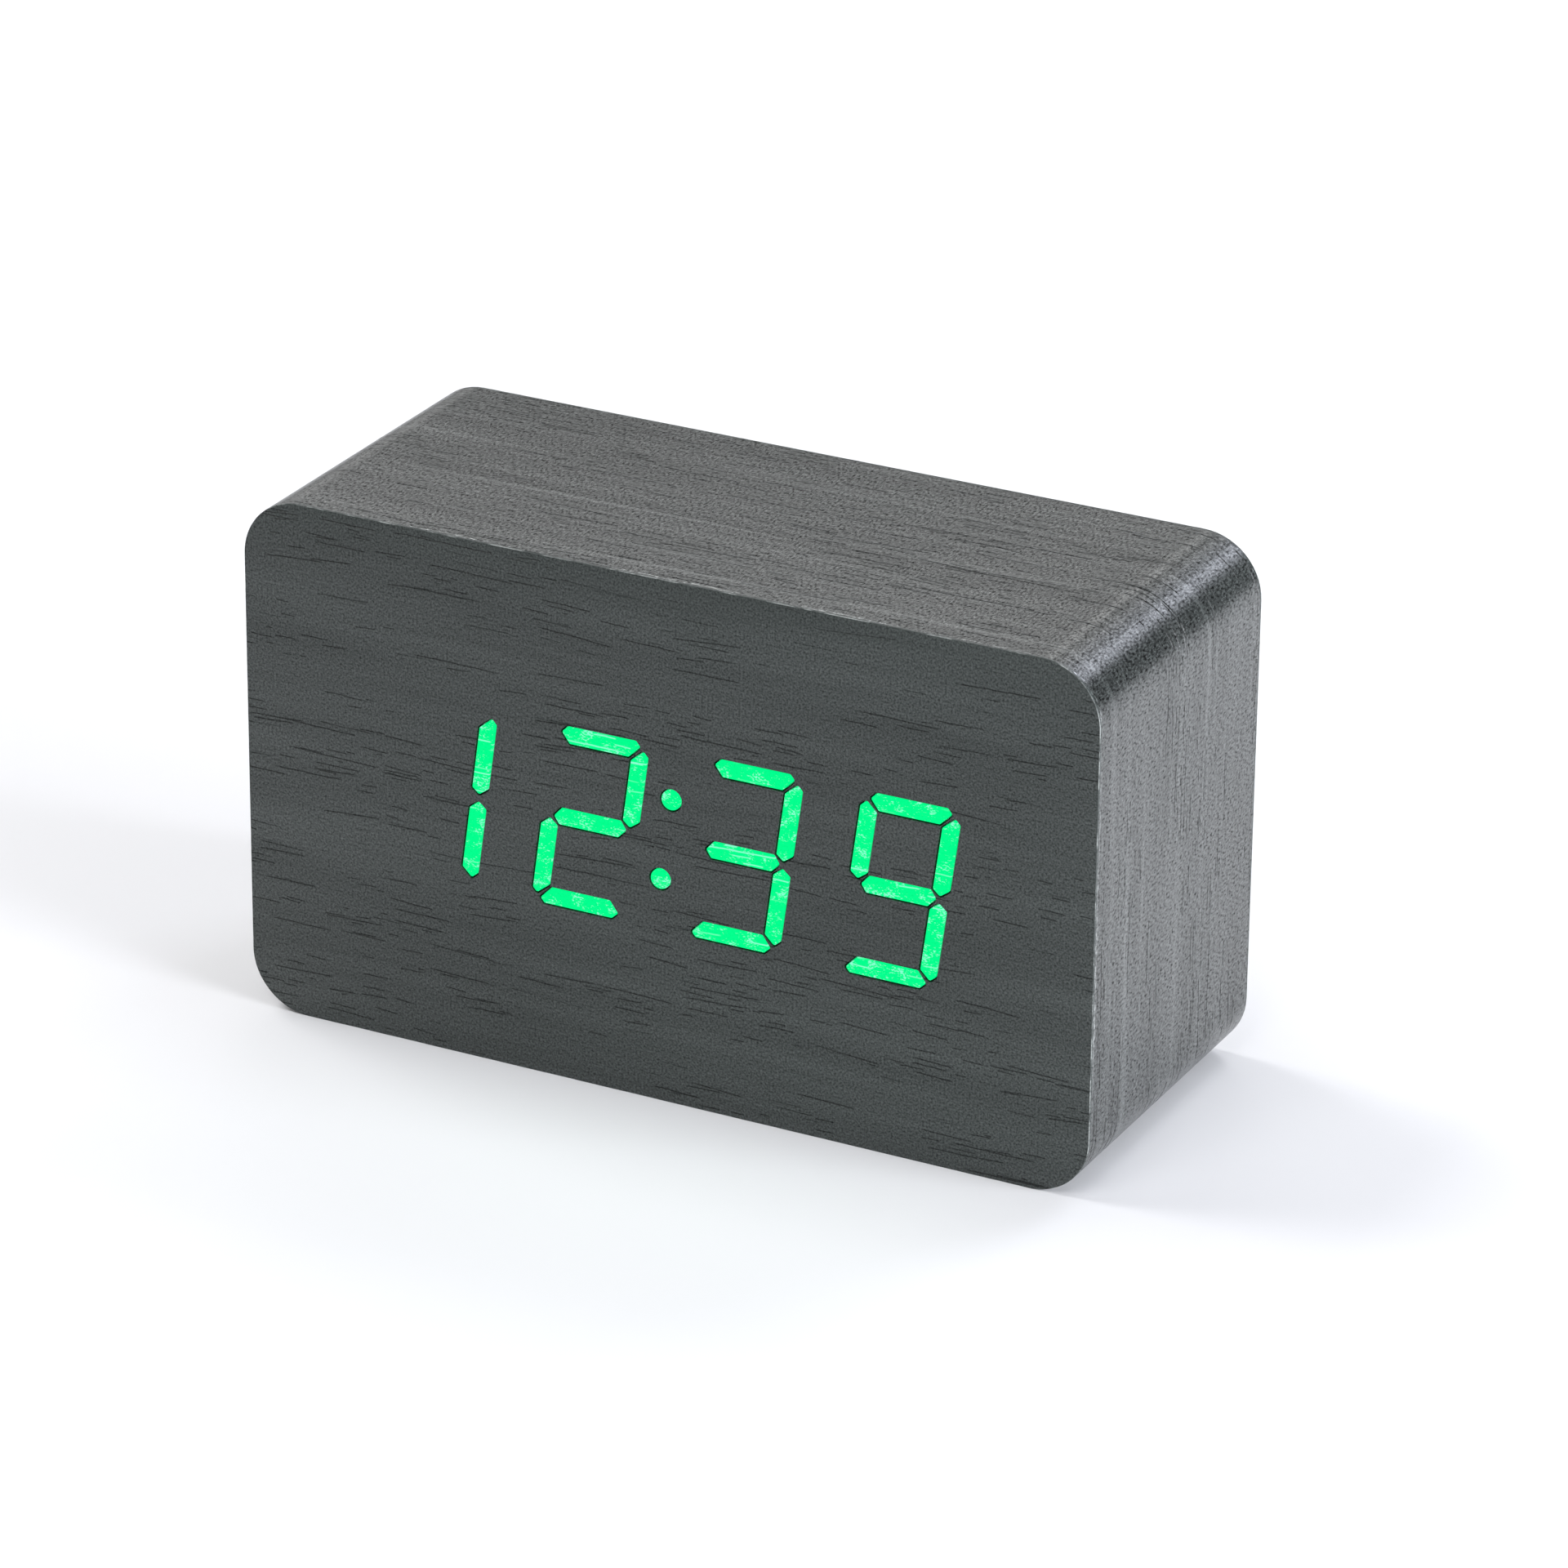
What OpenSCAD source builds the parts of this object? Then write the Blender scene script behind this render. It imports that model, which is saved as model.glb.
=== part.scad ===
// Block-shaped desk alarm clock. Three MDF boards glued into a hollow block are covered in
// wood-grain foil. A four-digit LED display shines through the front foil. The rear cover
// carries the keys and the main board, and three AAA cells sit in a bay let into the base.
// Millimetres. X runs along the width, the front faces -Y, and Z = 0 is the base.

/* [Case] */
// Width of the case
case_w = 100; // [98:0.5:104]
// Depth of the case, front to back
case_d = 39.5; // [39.5:0.5:44]
// Height of the case
case_h = 59.5; // [59:0.5:64]
// Radius of the four long corners
corner_r = 6.8; // [5:0.1:8.5]
// Thickness of the wood-grain foil
foil_t = 0.3; // [0.2:0.05:0.35]
// Thickness of the case frame's walls
wall_t = 5.2; // [4.8:0.1:5.6]
// Thickness of the rear board
rear_board_t = 8.15; // [7.6:0.05:8.4]

/* [Display] */
// Sideways place of the display's middle
display_x = 0.6; // [-1:0.1:1]
// Height of the display's middle above the base
display_z = 30.3; // [29.5:0.1:31]
// Distance between neighbouring digits
digit_pitch = 18.05; // [17.5:0.05:18.4]
// Width of a digit between the middles of its bars
digit_w = 9.45; // [9:0.05:9.8]
// Height of a digit between the middles of its bars
digit_h = 18.9; // [18:0.1:19.2]
// Width of a bar
bar_w = 2.04; // [1.6:0.02:2.2]
// Lean of the digits in degrees
lean = 7.7; // [0:0.1:9]
// Diameter of the two colon dots
dot_d = 2.42; // [2:0.02:2.8]
// Hour that the display shows
shown_hour = 12; // [0:1:23]
// Minute that the display shows
shown_minute = 39; // [0:1:59]

/* [Rear] */
// Width of the rear cover
cover_w = 82; // [80:0.5:83]
// Height of the rear cover
cover_h = 37.8; // [37:0.2:38]
// Thickness of the rear cover
cover_t = 2.2; // [1.8:0.1:2.4]
// Depth of the cover's face below the back of the case
cover_recess = 1.0; // [0.8:0.1:1.2]
// Diameter of the keys
key_d = 6.6; // [5.6:0.1:7]
// Distance between neighbouring keys
key_pitch = 12; // [11:0.5:13]
// Travel of a key
key_travel = 0.5; // [0.3:0.05:0.5]
// Travel of the sound switch
switch_travel = 2; // [1.5:0.1:2.2]

/* [Battery bay] */
// Diameter of an AAA cell
cell_d = 10.4; // [10.2:0.1:10.5]
// Length of an AAA cell with its cap
cell_l = 44.5; // [44:0.1:44.5]
// Length of the bay between its contact walls
bay_l = 48.8; // [48.6:0.1:49.2]
// Thickness of the battery door
door_t = 1.4; // [1.2:0.1:1.5]

/* [Hidden] */
$fn = 64;
cut = 1; // how far a cutting shape runs past the face that it cuts

// Case planes, from front to back
front_y = -case_d / 2;
back_y = case_d / 2;
core_front = front_y + foil_t;
core_back = back_y - foil_t;
mask_t = 0.8;
sheet_t = 0.3;
reflector_t = 7;
board_t = 1.2;
sheet_y = core_front + mask_t;
reflector_y = sheet_y + sheet_t;
display_y = reflector_y + reflector_t; // front face of the display board
display_back = display_y + board_t;
rear_board_y = core_back - rear_board_t;
mid_z = case_h / 2;

// Display
reflector_w = 71.6;
reflector_h = 24.4;
display_pcb_w = 84;
display_pcb_h = 31.6;
display_hole = [38.6, 13]; // offsets of the display board's screws from its middle
fit_gap = 0.2; // gap round a part that drops into a pocket
bar_tip = 4.72; // half length of a bar, middle to tip, at a digit's corner
mid_tip = 4.36; // the same for the middle bar and the ends next to it
tip_shift = 0.35; // how far a corner tip lies outside the bar's middle line
inner_cut = 1.2; // length of a tip's slope on the inner side
outer_cut = 0.65; // and on the outer side
mid_cut = 0.8; // length of a tip's slope next to the middle bar
colon_h = 9.25; // distance between the colon's dots
lit_gap = 0.1; // dark line round each lit bar

// Rear cover and main board
cover_out = back_y - cover_recess;
cover_in = cover_out - cover_t;
cover_z = 34.5;
cover_r = 4;
rear_open_w = 70;
rear_open_h = 29;
main_pcb_w = 66;
main_pcb_h = 27;
main_back = 11.2; // rear face of the main board
main_y = main_back - board_t; // its front face
cover_hole = [38.2, 16.3]; // offsets of the cover's screws from its middle
boss_place = [30.3, 11.2]; // offsets of the cover's posts from its middle
boss_d = 5;
pilot_d = 1.6; // hole that a self-tapping screw cuts its thread in
screw_d = 2;
screw_head_d = 3.8;
key_x = 4; // middle key
key_z = 40.5;
key_gap = 0.2;
key_flange_d = 9;
key_flange_t = 0.65;
tact_w = 6;
tact_h = 3.4;
plunger_d = 3.4;
tact_bore_depth = 1.2;
switch_x = -23;
switch_z = 40.5;
slider_w = 3.4;
slider_h = 2;
usb_x = 22;
usb_z = 27.5;
buzzer_x = 2;
buzzer_z = 28;
buzzer_d = 12;
mic_x = -13;
mic_z = 28;
mic_d = 6;
vent_x = -25;
vent_z = 27.5;

// Parts on the front of the main board
coin_x = -15;
coin_z = 35.2;
coin_d = 20;
coin_t = 3.2;
ribbon_x = 12;
ribbon_w = 12.7;
ribbon_t = 0.9;
ribbon_z = 27;
socket_depth = 5.6; // how far each ribbon socket stands off its board
ribbon_lead = 1; // straight ribbon before its first bend
ribbon_bend = 1.6; // radius of the ribbon's bends at its middle line
ribbon_loop_z = 20; // bottom of the ribbon's straight runs

// Battery bay
cell_pitch = 10.7;
bay_in_y = 16.05; // half the bay's inner depth
bay_wall = 0.95;
bay_out_y = bay_in_y + bay_wall;
hinge_wall = 3.2; // end wall that the door's tabs hook into
latch_wall = 1.6;
bay_x0 = -bay_l / 2 - hinge_wall;
bay_x1 = bay_l / 2 + latch_wall;
flange_t = 1.6;
flange_w = 5; // how far the flange reaches past the bay at each end
flange_z = foil_t + flange_t; // top of the flange
cell_z = 7.6;
bay_top = 14.3;
bay_roof_t = 1.1;
contact_t = 0.3;
contact_w = 8;
contact_z = [4.8, 12.6]; // bottom and top of the contact plates
tag_y = 7.7; // sideways place of the two wire tags
cap_d = 3.6;
cap_l = 1.2;
spring_wire = 0.35; // radius of the spring wire
spring_l = bay_l - 2 * contact_t - cell_l;
wire_r = 0.6;

// Battery door: it turns about the top edge of the flange at the hinge wall
hinge_x = -bay_l / 2;
hinge_z = flange_z;
door_z = foil_t + 0.1;
door_top = door_z + door_t;
door_gap = 0.25;
tab_y = 5.35;
tab_w = 4;
tab_reach = 2;
tab_t = 1.1;
tab_pocket_h = 2.5;
bead_d = 0.8; // round bead on the flange's edge that each hook turns on
riser_l = 1.5;
latch_w = 9;
latch_slit = 0.6;
latch_l = 9;

// ---------- shared shapes ----------

// Rectangle with round corners, centred
module round_rect(w, h, r) {
    square([w - 2 * r, h], center = true);
    square([w, h - 2 * r], center = true);
    for (sx = [-1, 1], sy = [-1, 1])
        translate([sx * (w / 2 - r), sy * (h / 2 - r)]) circle(r);
}

// A flat shape drawn in X and Z, extruded from y0 to y1
module along_y(y0, y1, x = 0, z = 0)
    translate([x, y1, z]) rotate([90, 0, 0]) linear_extrude(y1 - y0) children();

// Round bar along Y
module rod_y(d, y0, y1, x = 0, z = 0)
    translate([x, y1, z]) rotate([90, 0, 0]) cylinder(h = y1 - y0, d = d);

// Round bar along X
module rod_x(d, x0, x1, y, z)
    translate([x0, y, z]) rotate([0, 90, 0]) cylinder(h = x1 - x0, d = d);

// Box from its lowest to its highest corner
module span(low, high) translate(low) cube(high - low);

// Countersunk self-tapping screw along +Z, its head's top at z = 0 and its point below
module countersunk_screw(length) {
    head_h = (screw_head_d - screw_d) / 2;
    difference() {
        union() {
            translate([0, 0, -head_h])
                cylinder(h = head_h, d1 = screw_d, d2 = screw_head_d);
            translate([0, 0, -length + screw_d / 2])
                cylinder(h = length - screw_d / 2 - head_h, d = screw_d - 0.1);
            translate([0, 0, -length])
                cylinder(h = screw_d / 2, d1 = 0.4, d2 = screw_d - 0.1);
        }
        cross_recess(0.7);
    }
}

// Pan-head self-tapping screw along +Z, the underside of its head at z = 0
module pan_screw(length) {
    head_h = 1.2;
    difference() {
        union() {
            cylinder(h = head_h, d1 = screw_head_d, d2 = screw_head_d - 1);
            translate([0, 0, -length + screw_d / 2])
                cylinder(h = length - screw_d / 2, d = pilot_d);
            translate([0, 0, -length])
                cylinder(h = screw_d / 2, d1 = 0.4, d2 = pilot_d);
        }
        translate([0, 0, head_h]) cross_recess(0.7);
    }
}

// Cross recess sunk below z = 0
module cross_recess(depth)
    for (turn = [0, 90])
        rotate([0, 0, turn]) translate([-1.1, -0.25, -depth]) cube([2.2, 0.5, depth + cut]);

// Countersunk hole along +Z through a sheet, its wide end at z = 0
module countersunk_hole(depth) {
    head_h = (screw_head_d - screw_d) / 2;
    translate([0, 0, -head_h]) cylinder(h = head_h, d1 = screw_d + 0.2, d2 = screw_head_d + 0.2);
    translate([0, 0, -depth - cut]) cylinder(h = depth + cut, d = screw_d + 0.2);
    cylinder(h = cut, d = screw_head_d + 0.2);
}

// Puts its children, drawn along +Z, at a place on the back with +Z turned to +Y
module on_back(x, y, z) translate([x, y, z]) rotate([-90, 0, 0]) children();

// Puts its children, drawn along +Z, with +Z turned to -Y
module facing_front(x, y, z) translate([x, y, z]) rotate([90, 0, 0]) children();

// The four corners of a rectangle with half sizes h, round a middle
function corners(h, mx = 0, my = 0) =
    [for (sx = [-1, 1], sy = [-1, 1]) [mx + sx * h.x, my + sy * h.y]];

// ---------- display figures ----------

// Outline of an upright bar on the right of a digit: round its middle, x across and y along.
// Its top end meets a digit's corner and its bottom end meets the middle bar.
function upright_bar() = [
    [-bar_w / 2, bar_tip - inner_cut], [tip_shift, bar_tip], [bar_w / 2, bar_tip - outer_cut],
    [bar_w / 2, -mid_tip + mid_cut], [0, -mid_tip], [-bar_w / 2, -mid_tip + mid_cut]
];

// Outline of the top bar
function top_bar() = [
    [-bar_tip + inner_cut, -bar_w / 2], [bar_tip - inner_cut, -bar_w / 2],
    [bar_tip, tip_shift], [bar_tip - outer_cut, bar_w / 2],
    [-bar_tip + outer_cut, bar_w / 2], [-bar_tip, tip_shift]
];

// Outline of the middle bar
function middle_bar() = [
    [-mid_tip, 0], [-mid_tip + mid_cut, -bar_w / 2], [mid_tip - mid_cut, -bar_w / 2],
    [mid_tip, 0], [mid_tip - mid_cut, bar_w / 2], [-mid_tip + mid_cut, bar_w / 2]
];

// Each bar of a digit as [outline, middle, sideways sign, upright sign], clockwise from the
// top bar, with the middle bar last
BARS = [
    [top_bar(), [0, digit_h / 2], 1, 1],
    [upright_bar(), [digit_w / 2, digit_h / 4], 1, 1],
    [upright_bar(), [digit_w / 2, -digit_h / 4], 1, -1],
    [top_bar(), [0, -digit_h / 2], 1, -1],
    [upright_bar(), [-digit_w / 2, -digit_h / 4], -1, -1],
    [upright_bar(), [-digit_w / 2, digit_h / 4], -1, 1],
    [middle_bar(), [0, 0], 1, 1]
];

// A point of a digit after the digit leans to the right
function leaned(p) = [p.x + p.y * tan(lean), p.y];

// Outline of one bar in its digit
function bar_outline(bar) =
    [for (p = bar[0]) leaned([bar[1].x + bar[2] * p.x, bar[1].y + bar[3] * p.y])];

// Outward normal of the edge from a to b in an outline that turns anticlockwise
function edge_normal(a, b) = [b.y - a.y, a.x - b.x] / norm(b - a);

// Twice the signed area of an outline
function turning(points) = let (n = len(points))
    [for (i = [0 : n - 1]) let (a = points[i], b = points[(i + 1) % n]) a.x * b.y - b.x * a.y]
    * [for (i = [0 : n - 1]) 1];

// Outline with every edge moved outwards by g
function grown(points, g) =
    let (n = len(points), side = sign(turning(points)))
    [for (i = [0 : n - 1])
        let (
            before = side * edge_normal(points[(i + n - 1) % n], points[i]),
            after = side * edge_normal(points[i], points[(i + 1) % n])
        )
        points[i] + g * (before + after) / (1 + before * after)];

// Bars that each numeral lights, as places in BARS
NUMERALS = [
    [0, 1, 2, 3, 4, 5], [1, 2], [0, 1, 6, 4, 3], [0, 1, 6, 2, 3], [5, 6, 1, 2],
    [0, 5, 6, 2, 3], [0, 5, 6, 2, 3, 4], [0, 1, 2], [0, 1, 2, 3, 4, 5, 6], [0, 1, 2, 3, 5, 6]
];
SHOWN = [
    floor(shown_hour / 10), shown_hour % 10, floor(shown_minute / 10), shown_minute % 10
];

DIGIT_X = [for (i = [-1.5, -0.5, 0.5, 1.5]) i * digit_pitch];
DOTS = [for (s = [-1, 1]) leaned([0, s * colon_h / 2])];

// All the bars and dots of the display, flat, round its middle
module figures() {
    for (x = DIGIT_X, bar = BARS) translate([x, 0]) polygon(bar_outline(bar));
    for (p = DOTS) translate(p) circle(d = dot_d);
}

// The lit bars of one digit, flat, round the display's middle
module lit_figure(place, grow = 0)
    for (k = NUMERALS[SHOWN[place]])
        translate([DIGIT_X[place], 0]) polygon(grown(bar_outline(BARS[k]), grow));

module lit_dots(grow = 0) for (p = DOTS) translate(p) circle(d = dot_d + 2 * grow);

// ---------- case ----------

// The case's outline, set in from its outside by a distance
module case_outline(inset)
    translate([0, mid_z]) round_rect(case_w - 2 * inset, case_h - 2 * inset, corner_r - inset);

// Space that the battery bay and its flange take out of the base
module bay_space() {
    span([bay_x0 - 0.1, -bay_out_y - 0.05, -cut], [bay_x1 + 0.1, bay_out_y + 0.05, bay_top + 0.1]);
    span([bay_x0 - flange_w - 0.1, -bay_out_y - 0.05, -cut],
         [bay_x1 + flange_w + 0.1, bay_out_y + 0.05, flange_z]);
    for (p = bay_screw_places())
        translate([p.x, p.y, 0]) cylinder(h = 2 * wall_t, d = pilot_d);
}

function bay_screw_places() =
    [for (x = [bay_x0 - flange_w / 2, bay_x1 + flange_w / 2], y = [-8.5, 8.5]) [x, y]];

module wrap_foil() color("#3b3d3f") difference() {
    along_y(core_front, core_back) difference() {
        case_outline(0);
        case_outline(foil_t);
    }
    bay_space();
}

module front_foil() color("#36393a") along_y(front_y, core_front) difference() {
    case_outline(0);
    translate([display_x, display_z]) {
        for (place = [0 : 3]) lit_figure(place, lit_gap);
        lit_dots(lit_gap);
    }
}

// Parts of the front foil that the light comes through
module lit_sheet() color("#20f060") along_y(front_y, core_front, display_x, display_z) children();

module lit_hour_tens() lit_sheet() lit_figure(0);
module lit_hours() lit_sheet() lit_figure(1);
module lit_colon() lit_sheet() lit_dots();
module lit_minute_tens() lit_sheet() lit_figure(2);
module lit_minutes() lit_sheet() lit_figure(3);

module rear_foil() color("#36393a") along_y(core_back, back_y) difference() {
    case_outline(0);
    translate([0, cover_z])
        round_rect(cover_w + 2 * fit_gap, cover_h + 2 * fit_gap, cover_r + fit_gap);
}

module front_board() color("#a98a63") difference() {
    along_y(core_front, display_y) case_outline(foil_t);
    along_y(core_front - cut, display_y + cut, display_x, display_z)
        square([reflector_w + fit_gap, reflector_h + fit_gap], center = true);
    bay_space();
    for (p = corners(display_hole, display_x, display_z))
        rod_y(pilot_d, display_y - 6, display_y + cut, p.x, p.y);
}

module case_frame() color("#a98a63") difference() {
    along_y(display_y, rear_board_y) difference() {
        case_outline(foil_t);
        case_outline(foil_t + wall_t);
    }
    bay_space();
}

module rear_board() color("#a98a63") difference() {
    along_y(rear_board_y, core_back) case_outline(foil_t);
    along_y(rear_board_y - cut, core_back + cut, 0, cover_z)
        round_rect(rear_open_w, rear_open_h, 2);
    along_y(cover_in, core_back + cut, 0, cover_z)
        round_rect(cover_w + 2 * fit_gap, cover_h + 2 * fit_gap, cover_r + fit_gap);
    bay_space();
    for (p = corners(cover_hole, 0, cover_z))
        rod_y(pilot_d + 0.1, rear_board_y + 0.8, cover_in + cut, p.x, p.y);
}

// ---------- display ----------

module light_mask() color("#101112") along_y(core_front, sheet_y, display_x, display_z)
    difference() {
        square([reflector_w, reflector_h], center = true);
        figures();
    }

module diffuser_sheet() color("#e6ebe8") along_y(sheet_y, reflector_y, display_x, display_z)
    square([reflector_w, reflector_h], center = true);

module reflector_block() color("#f2f2ee")
    along_y(reflector_y, display_y, display_x, display_z)
        difference() {
            square([reflector_w, reflector_h], center = true);
            figures();
        }

module display_pcb() color("#1d5c39") along_y(display_y, display_back, display_x, display_z)
    difference() {
        square([display_pcb_w, display_pcb_h], center = true);
        for (p = corners(display_hole)) translate(p) circle(d = screw_d + 0.2);
    }

// Two LED chips behind each bar and one behind each dot
module led_chips() color("#f4edc0") {
    chip = [1.2, 0.8];
    for (x = DIGIT_X, bar = BARS, s = [-2, 2]) {
        upright = abs(bar[1].x) > 0;
        p = leaned(bar[1] + (upright ? [0, s] : [s, 0]));
        along_y(display_y - 0.8, display_y, display_x + x + p.x, display_z + p.y)
            square(upright ? [chip.y, chip.x] : chip, center = true);
    }
    for (p = DOTS)
        along_y(display_y - 0.8, display_y, display_x + p.x, display_z + p.y)
            square(chip, center = true);
}

// Chip in a flat package with legs along its two long sides, standing off y0 towards side
module small_outline_chip(y0, side, x, z, legs) {
    body = [legs * 0.64, 4];
    low = side > 0 ? y0 + 0.1 : y0 - 1.5;
    along_y(low, low + 1.4, x, z) square(body, center = true);
    for (i = [0 : legs - 1], s = [-1, 1])
        along_y(side > 0 ? y0 : y0 - 0.6, side > 0 ? y0 + 0.6 : y0,
                x + (i - (legs - 1) / 2) * 0.64, z + s * 2.5)
            square([0.3, 1], center = true);
}

module driver_chips() color("#17181a")
    for (x = [-22, -8]) small_outline_chip(display_back, 1, x, 36, 10);

module display_screws() color("#b9bcc0") for (p = corners(display_hole, display_x, display_z))
    on_back(p.x, display_back, p.y) pan_screw(6);

// Ribbon socket: a low box on its board, with a slot that the ribbon enters
module ribbon_socket(y0, y1) difference() {
    along_y(y0, y1, ribbon_x, ribbon_z) square([ribbon_w + 2.4, 4.4], center = true);
    along_y(y0 + 1, y1 + cut, ribbon_x, ribbon_z)
        square([ribbon_w + 0.2, ribbon_t + 0.1], center = true);
}

module display_socket() color("#e8e2cf")
    ribbon_socket(display_back, display_back + socket_depth);

module main_socket() color("#e8e2cf")
    mirror([0, 1, 0]) translate([0, -main_y, 0]) ribbon_socket(0, socket_depth);

// Flat ribbon: out of one socket, down, round a half turn, and up into the other socket
module ribbon_cable() color("#9aa0a6") {
    y0 = display_back + socket_depth;
    y1 = main_y - socket_depth;
    down_y = y0 + ribbon_lead + ribbon_bend;
    up_y = y1 - ribbon_lead - ribbon_bend;
    turn_r = (up_y - down_y) / 2;
    translate([ribbon_x - ribbon_w / 2, 0, 0]) rotate([90, 0, 90]) linear_extrude(ribbon_w) {
        translate([y0 - 4, ribbon_z - ribbon_t / 2]) square([4 + ribbon_lead, ribbon_t]);
        translate([y1 - ribbon_lead, ribbon_z - ribbon_t / 2])
            square([4 + ribbon_lead, ribbon_t]);
        arc_strip([y0 + ribbon_lead, ribbon_z - ribbon_bend], ribbon_bend, [1, 1]);
        arc_strip([y1 - ribbon_lead, ribbon_z - ribbon_bend], ribbon_bend, [-1, 1]);
        for (y = [down_y, up_y])
            translate([y - ribbon_t / 2, ribbon_loop_z])
                square([ribbon_t, ribbon_z - ribbon_bend - ribbon_loop_z]);
        for (s = [-1, 1])
            arc_strip([(down_y + up_y) / 2, ribbon_loop_z], turn_r, [s, -1]);
    }
}

// A quarter turn of the ribbon seen from the side, in the quadrant that signs give
module arc_strip(middle, r, signs) translate(middle) intersection() {
    difference() {
        circle(r + ribbon_t / 2);
        circle(r - ribbon_t / 2);
    }
    scale([signs.x > 0 ? 1 : -1, signs.y > 0 ? 1 : -1]) square(r + ribbon_t);
}

// ---------- main board ----------

module main_pcb() color("#1d5c39") along_y(main_y, main_back, 0, cover_z) difference() {
    square([main_pcb_w, main_pcb_h], center = true);
    for (p = corners(boss_place)) translate(p) circle(d = screw_d + 0.2);
}

module controller_chip() color("#17181a")
    mirror([0, 1, 0]) translate([0, -main_y, 0]) small_outline_chip(0, 1, 8, 38.5, 14);

module clock_crystal() color("#c9ccd1") {
    can_d = 2;
    translate([18, main_y - can_d / 2 - 0.1, 33]) cylinder(h = 6, d = can_d);
    for (s = [-0.35, 0.35]) translate([18 + s, main_y - can_d / 2 - 0.1, 30.6])
        cylinder(h = 2.4, d = 0.3);
}

module backup_cell() color("#c7cacd")
    rod_y(coin_d, main_y - 1.2 - coin_t, main_y - 1.2, coin_x, coin_z);

// Ring that holds the coin cell, with an opening at the side and a spring strap over the cell
module backup_cell_holder() color("#26282b") {
    difference() {
        rod_y(coin_d + 3, main_y - 4.2, main_y, coin_x, coin_z);
        rod_y(coin_d + 0.4, main_y - 4.2 - cut, main_y - 1.2, coin_x, coin_z);
        span([coin_x + 6, main_y - 4.2 - cut, coin_z - 5], [coin_x + 14, main_y - 1.2, coin_z + 5]);
    }
    strap_y = main_y - 1.2 - coin_t - 0.4;
    for (s = [-1, 1])
        span([coin_x - 2, strap_y, coin_z + s * 11.2 - 0.7],
             [coin_x + 2, main_y - 4.2, coin_z + s * 11.2 + 0.7]);
    span([coin_x - 2, strap_y, coin_z - 11.9], [coin_x + 2, strap_y + 0.35, coin_z + 11.9]);
}

module capacitors() color("#2b3a55")
    for (p = [[27, 38], [27, 30]])
        rod_y(5, main_y - 6.5, main_y, p.x, p.y);

module chip_resistors() color("#1f2023") {
    for (i = [0 : 5], s = [0, 1])
        along_y(main_y - 0.5, main_y, 3 + i * 2.4, 43.6 + s * 2) square([1.6, 0.8], center = true);
    for (i = [0 : 3])
        along_y(display_back, display_back + 0.5, -26 + i * 2.6, 30.5)
            square([1.6, 0.8], center = true);
}

module buzzer() color("#141517") difference() {
    rod_y(buzzer_d, main_back, main_back + 5, buzzer_x, buzzer_z);
    rod_y(2, main_back + 3.5, main_back + 5 + cut, buzzer_x, buzzer_z);
}

module microphone() color("#b5b8bc") difference() {
    rod_y(mic_d, main_back, main_back + 4.5, mic_x, mic_z);
    rod_y(mic_d - 1.6, main_back + 4.3, main_back + 4.5 + cut, mic_x, mic_z);
}

module thermistor() color("#20242b") {
    bead_y = main_back + 3.2;
    translate([vent_x, bead_y, vent_z]) sphere(d = 2.2);
    for (s = [-0.6, 0.6]) rod_y(0.4, main_back, bead_y, vent_x + s, vent_z);
}

module tact_switches() color("#2a2b2e") for (i = [-1, 0, 1]) difference() {
    along_y(main_back, main_back + tact_h, key_x + i * key_pitch, key_z)
        square(tact_w, center = true);
    rod_y(plunger_d + 0.3, main_back + tact_h - tact_bore_depth, main_back + tact_h + cut,
          key_x + i * key_pitch, key_z);
}

module switch_housing() color("#8f9398") difference() {
    along_y(main_back, main_back + tact_h, switch_x, switch_z) square([9, 4.6], center = true);
    along_y(main_back + tact_h - 1.6, main_back + tact_h + cut, switch_x, switch_z)
        square([1.8 + switch_travel + 0.4, 2.2], center = true);
}

// Outline of the charging socket: a wide top and sloping lower corners, grown by a distance
module usb_outline(grow) {
    w = 3.45 + grow;
    h = 0.95 + grow;
    polygon([[-w, h], [-w, -h + 0.75], [-w + 0.9, -h], [w - 0.9, -h], [w, -h + 0.75], [w, h]]);
}

module usb_shell() color("#c9ccd1") along_y(main_back, cover_out - 0.9, usb_x, usb_z)
    difference() {
        usb_outline(0.3);
        usb_outline(0);
    }

module usb_insert() color("#141517") {
    along_y(main_back, main_back + 1.2, usb_x, usb_z) usb_outline(0);
    along_y(main_back + 1.2, cover_out - 1.6, usb_x, usb_z + 0.25) square([3.6, 0.6], center = true);
}

module board_screws() color("#b9bcc0") for (p = corners(boss_place, 0, cover_z))
    facing_front(p.x, main_y, p.y) pan_screw(5.6);

// ---------- rear cover and keys ----------

// Flat triangle that marks the up and down keys
module arrow_mark(up) rotate(up ? 0 : 180) polygon([[-1.4, -0.8], [1.4, -0.8], [0, 1.4]]);

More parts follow.
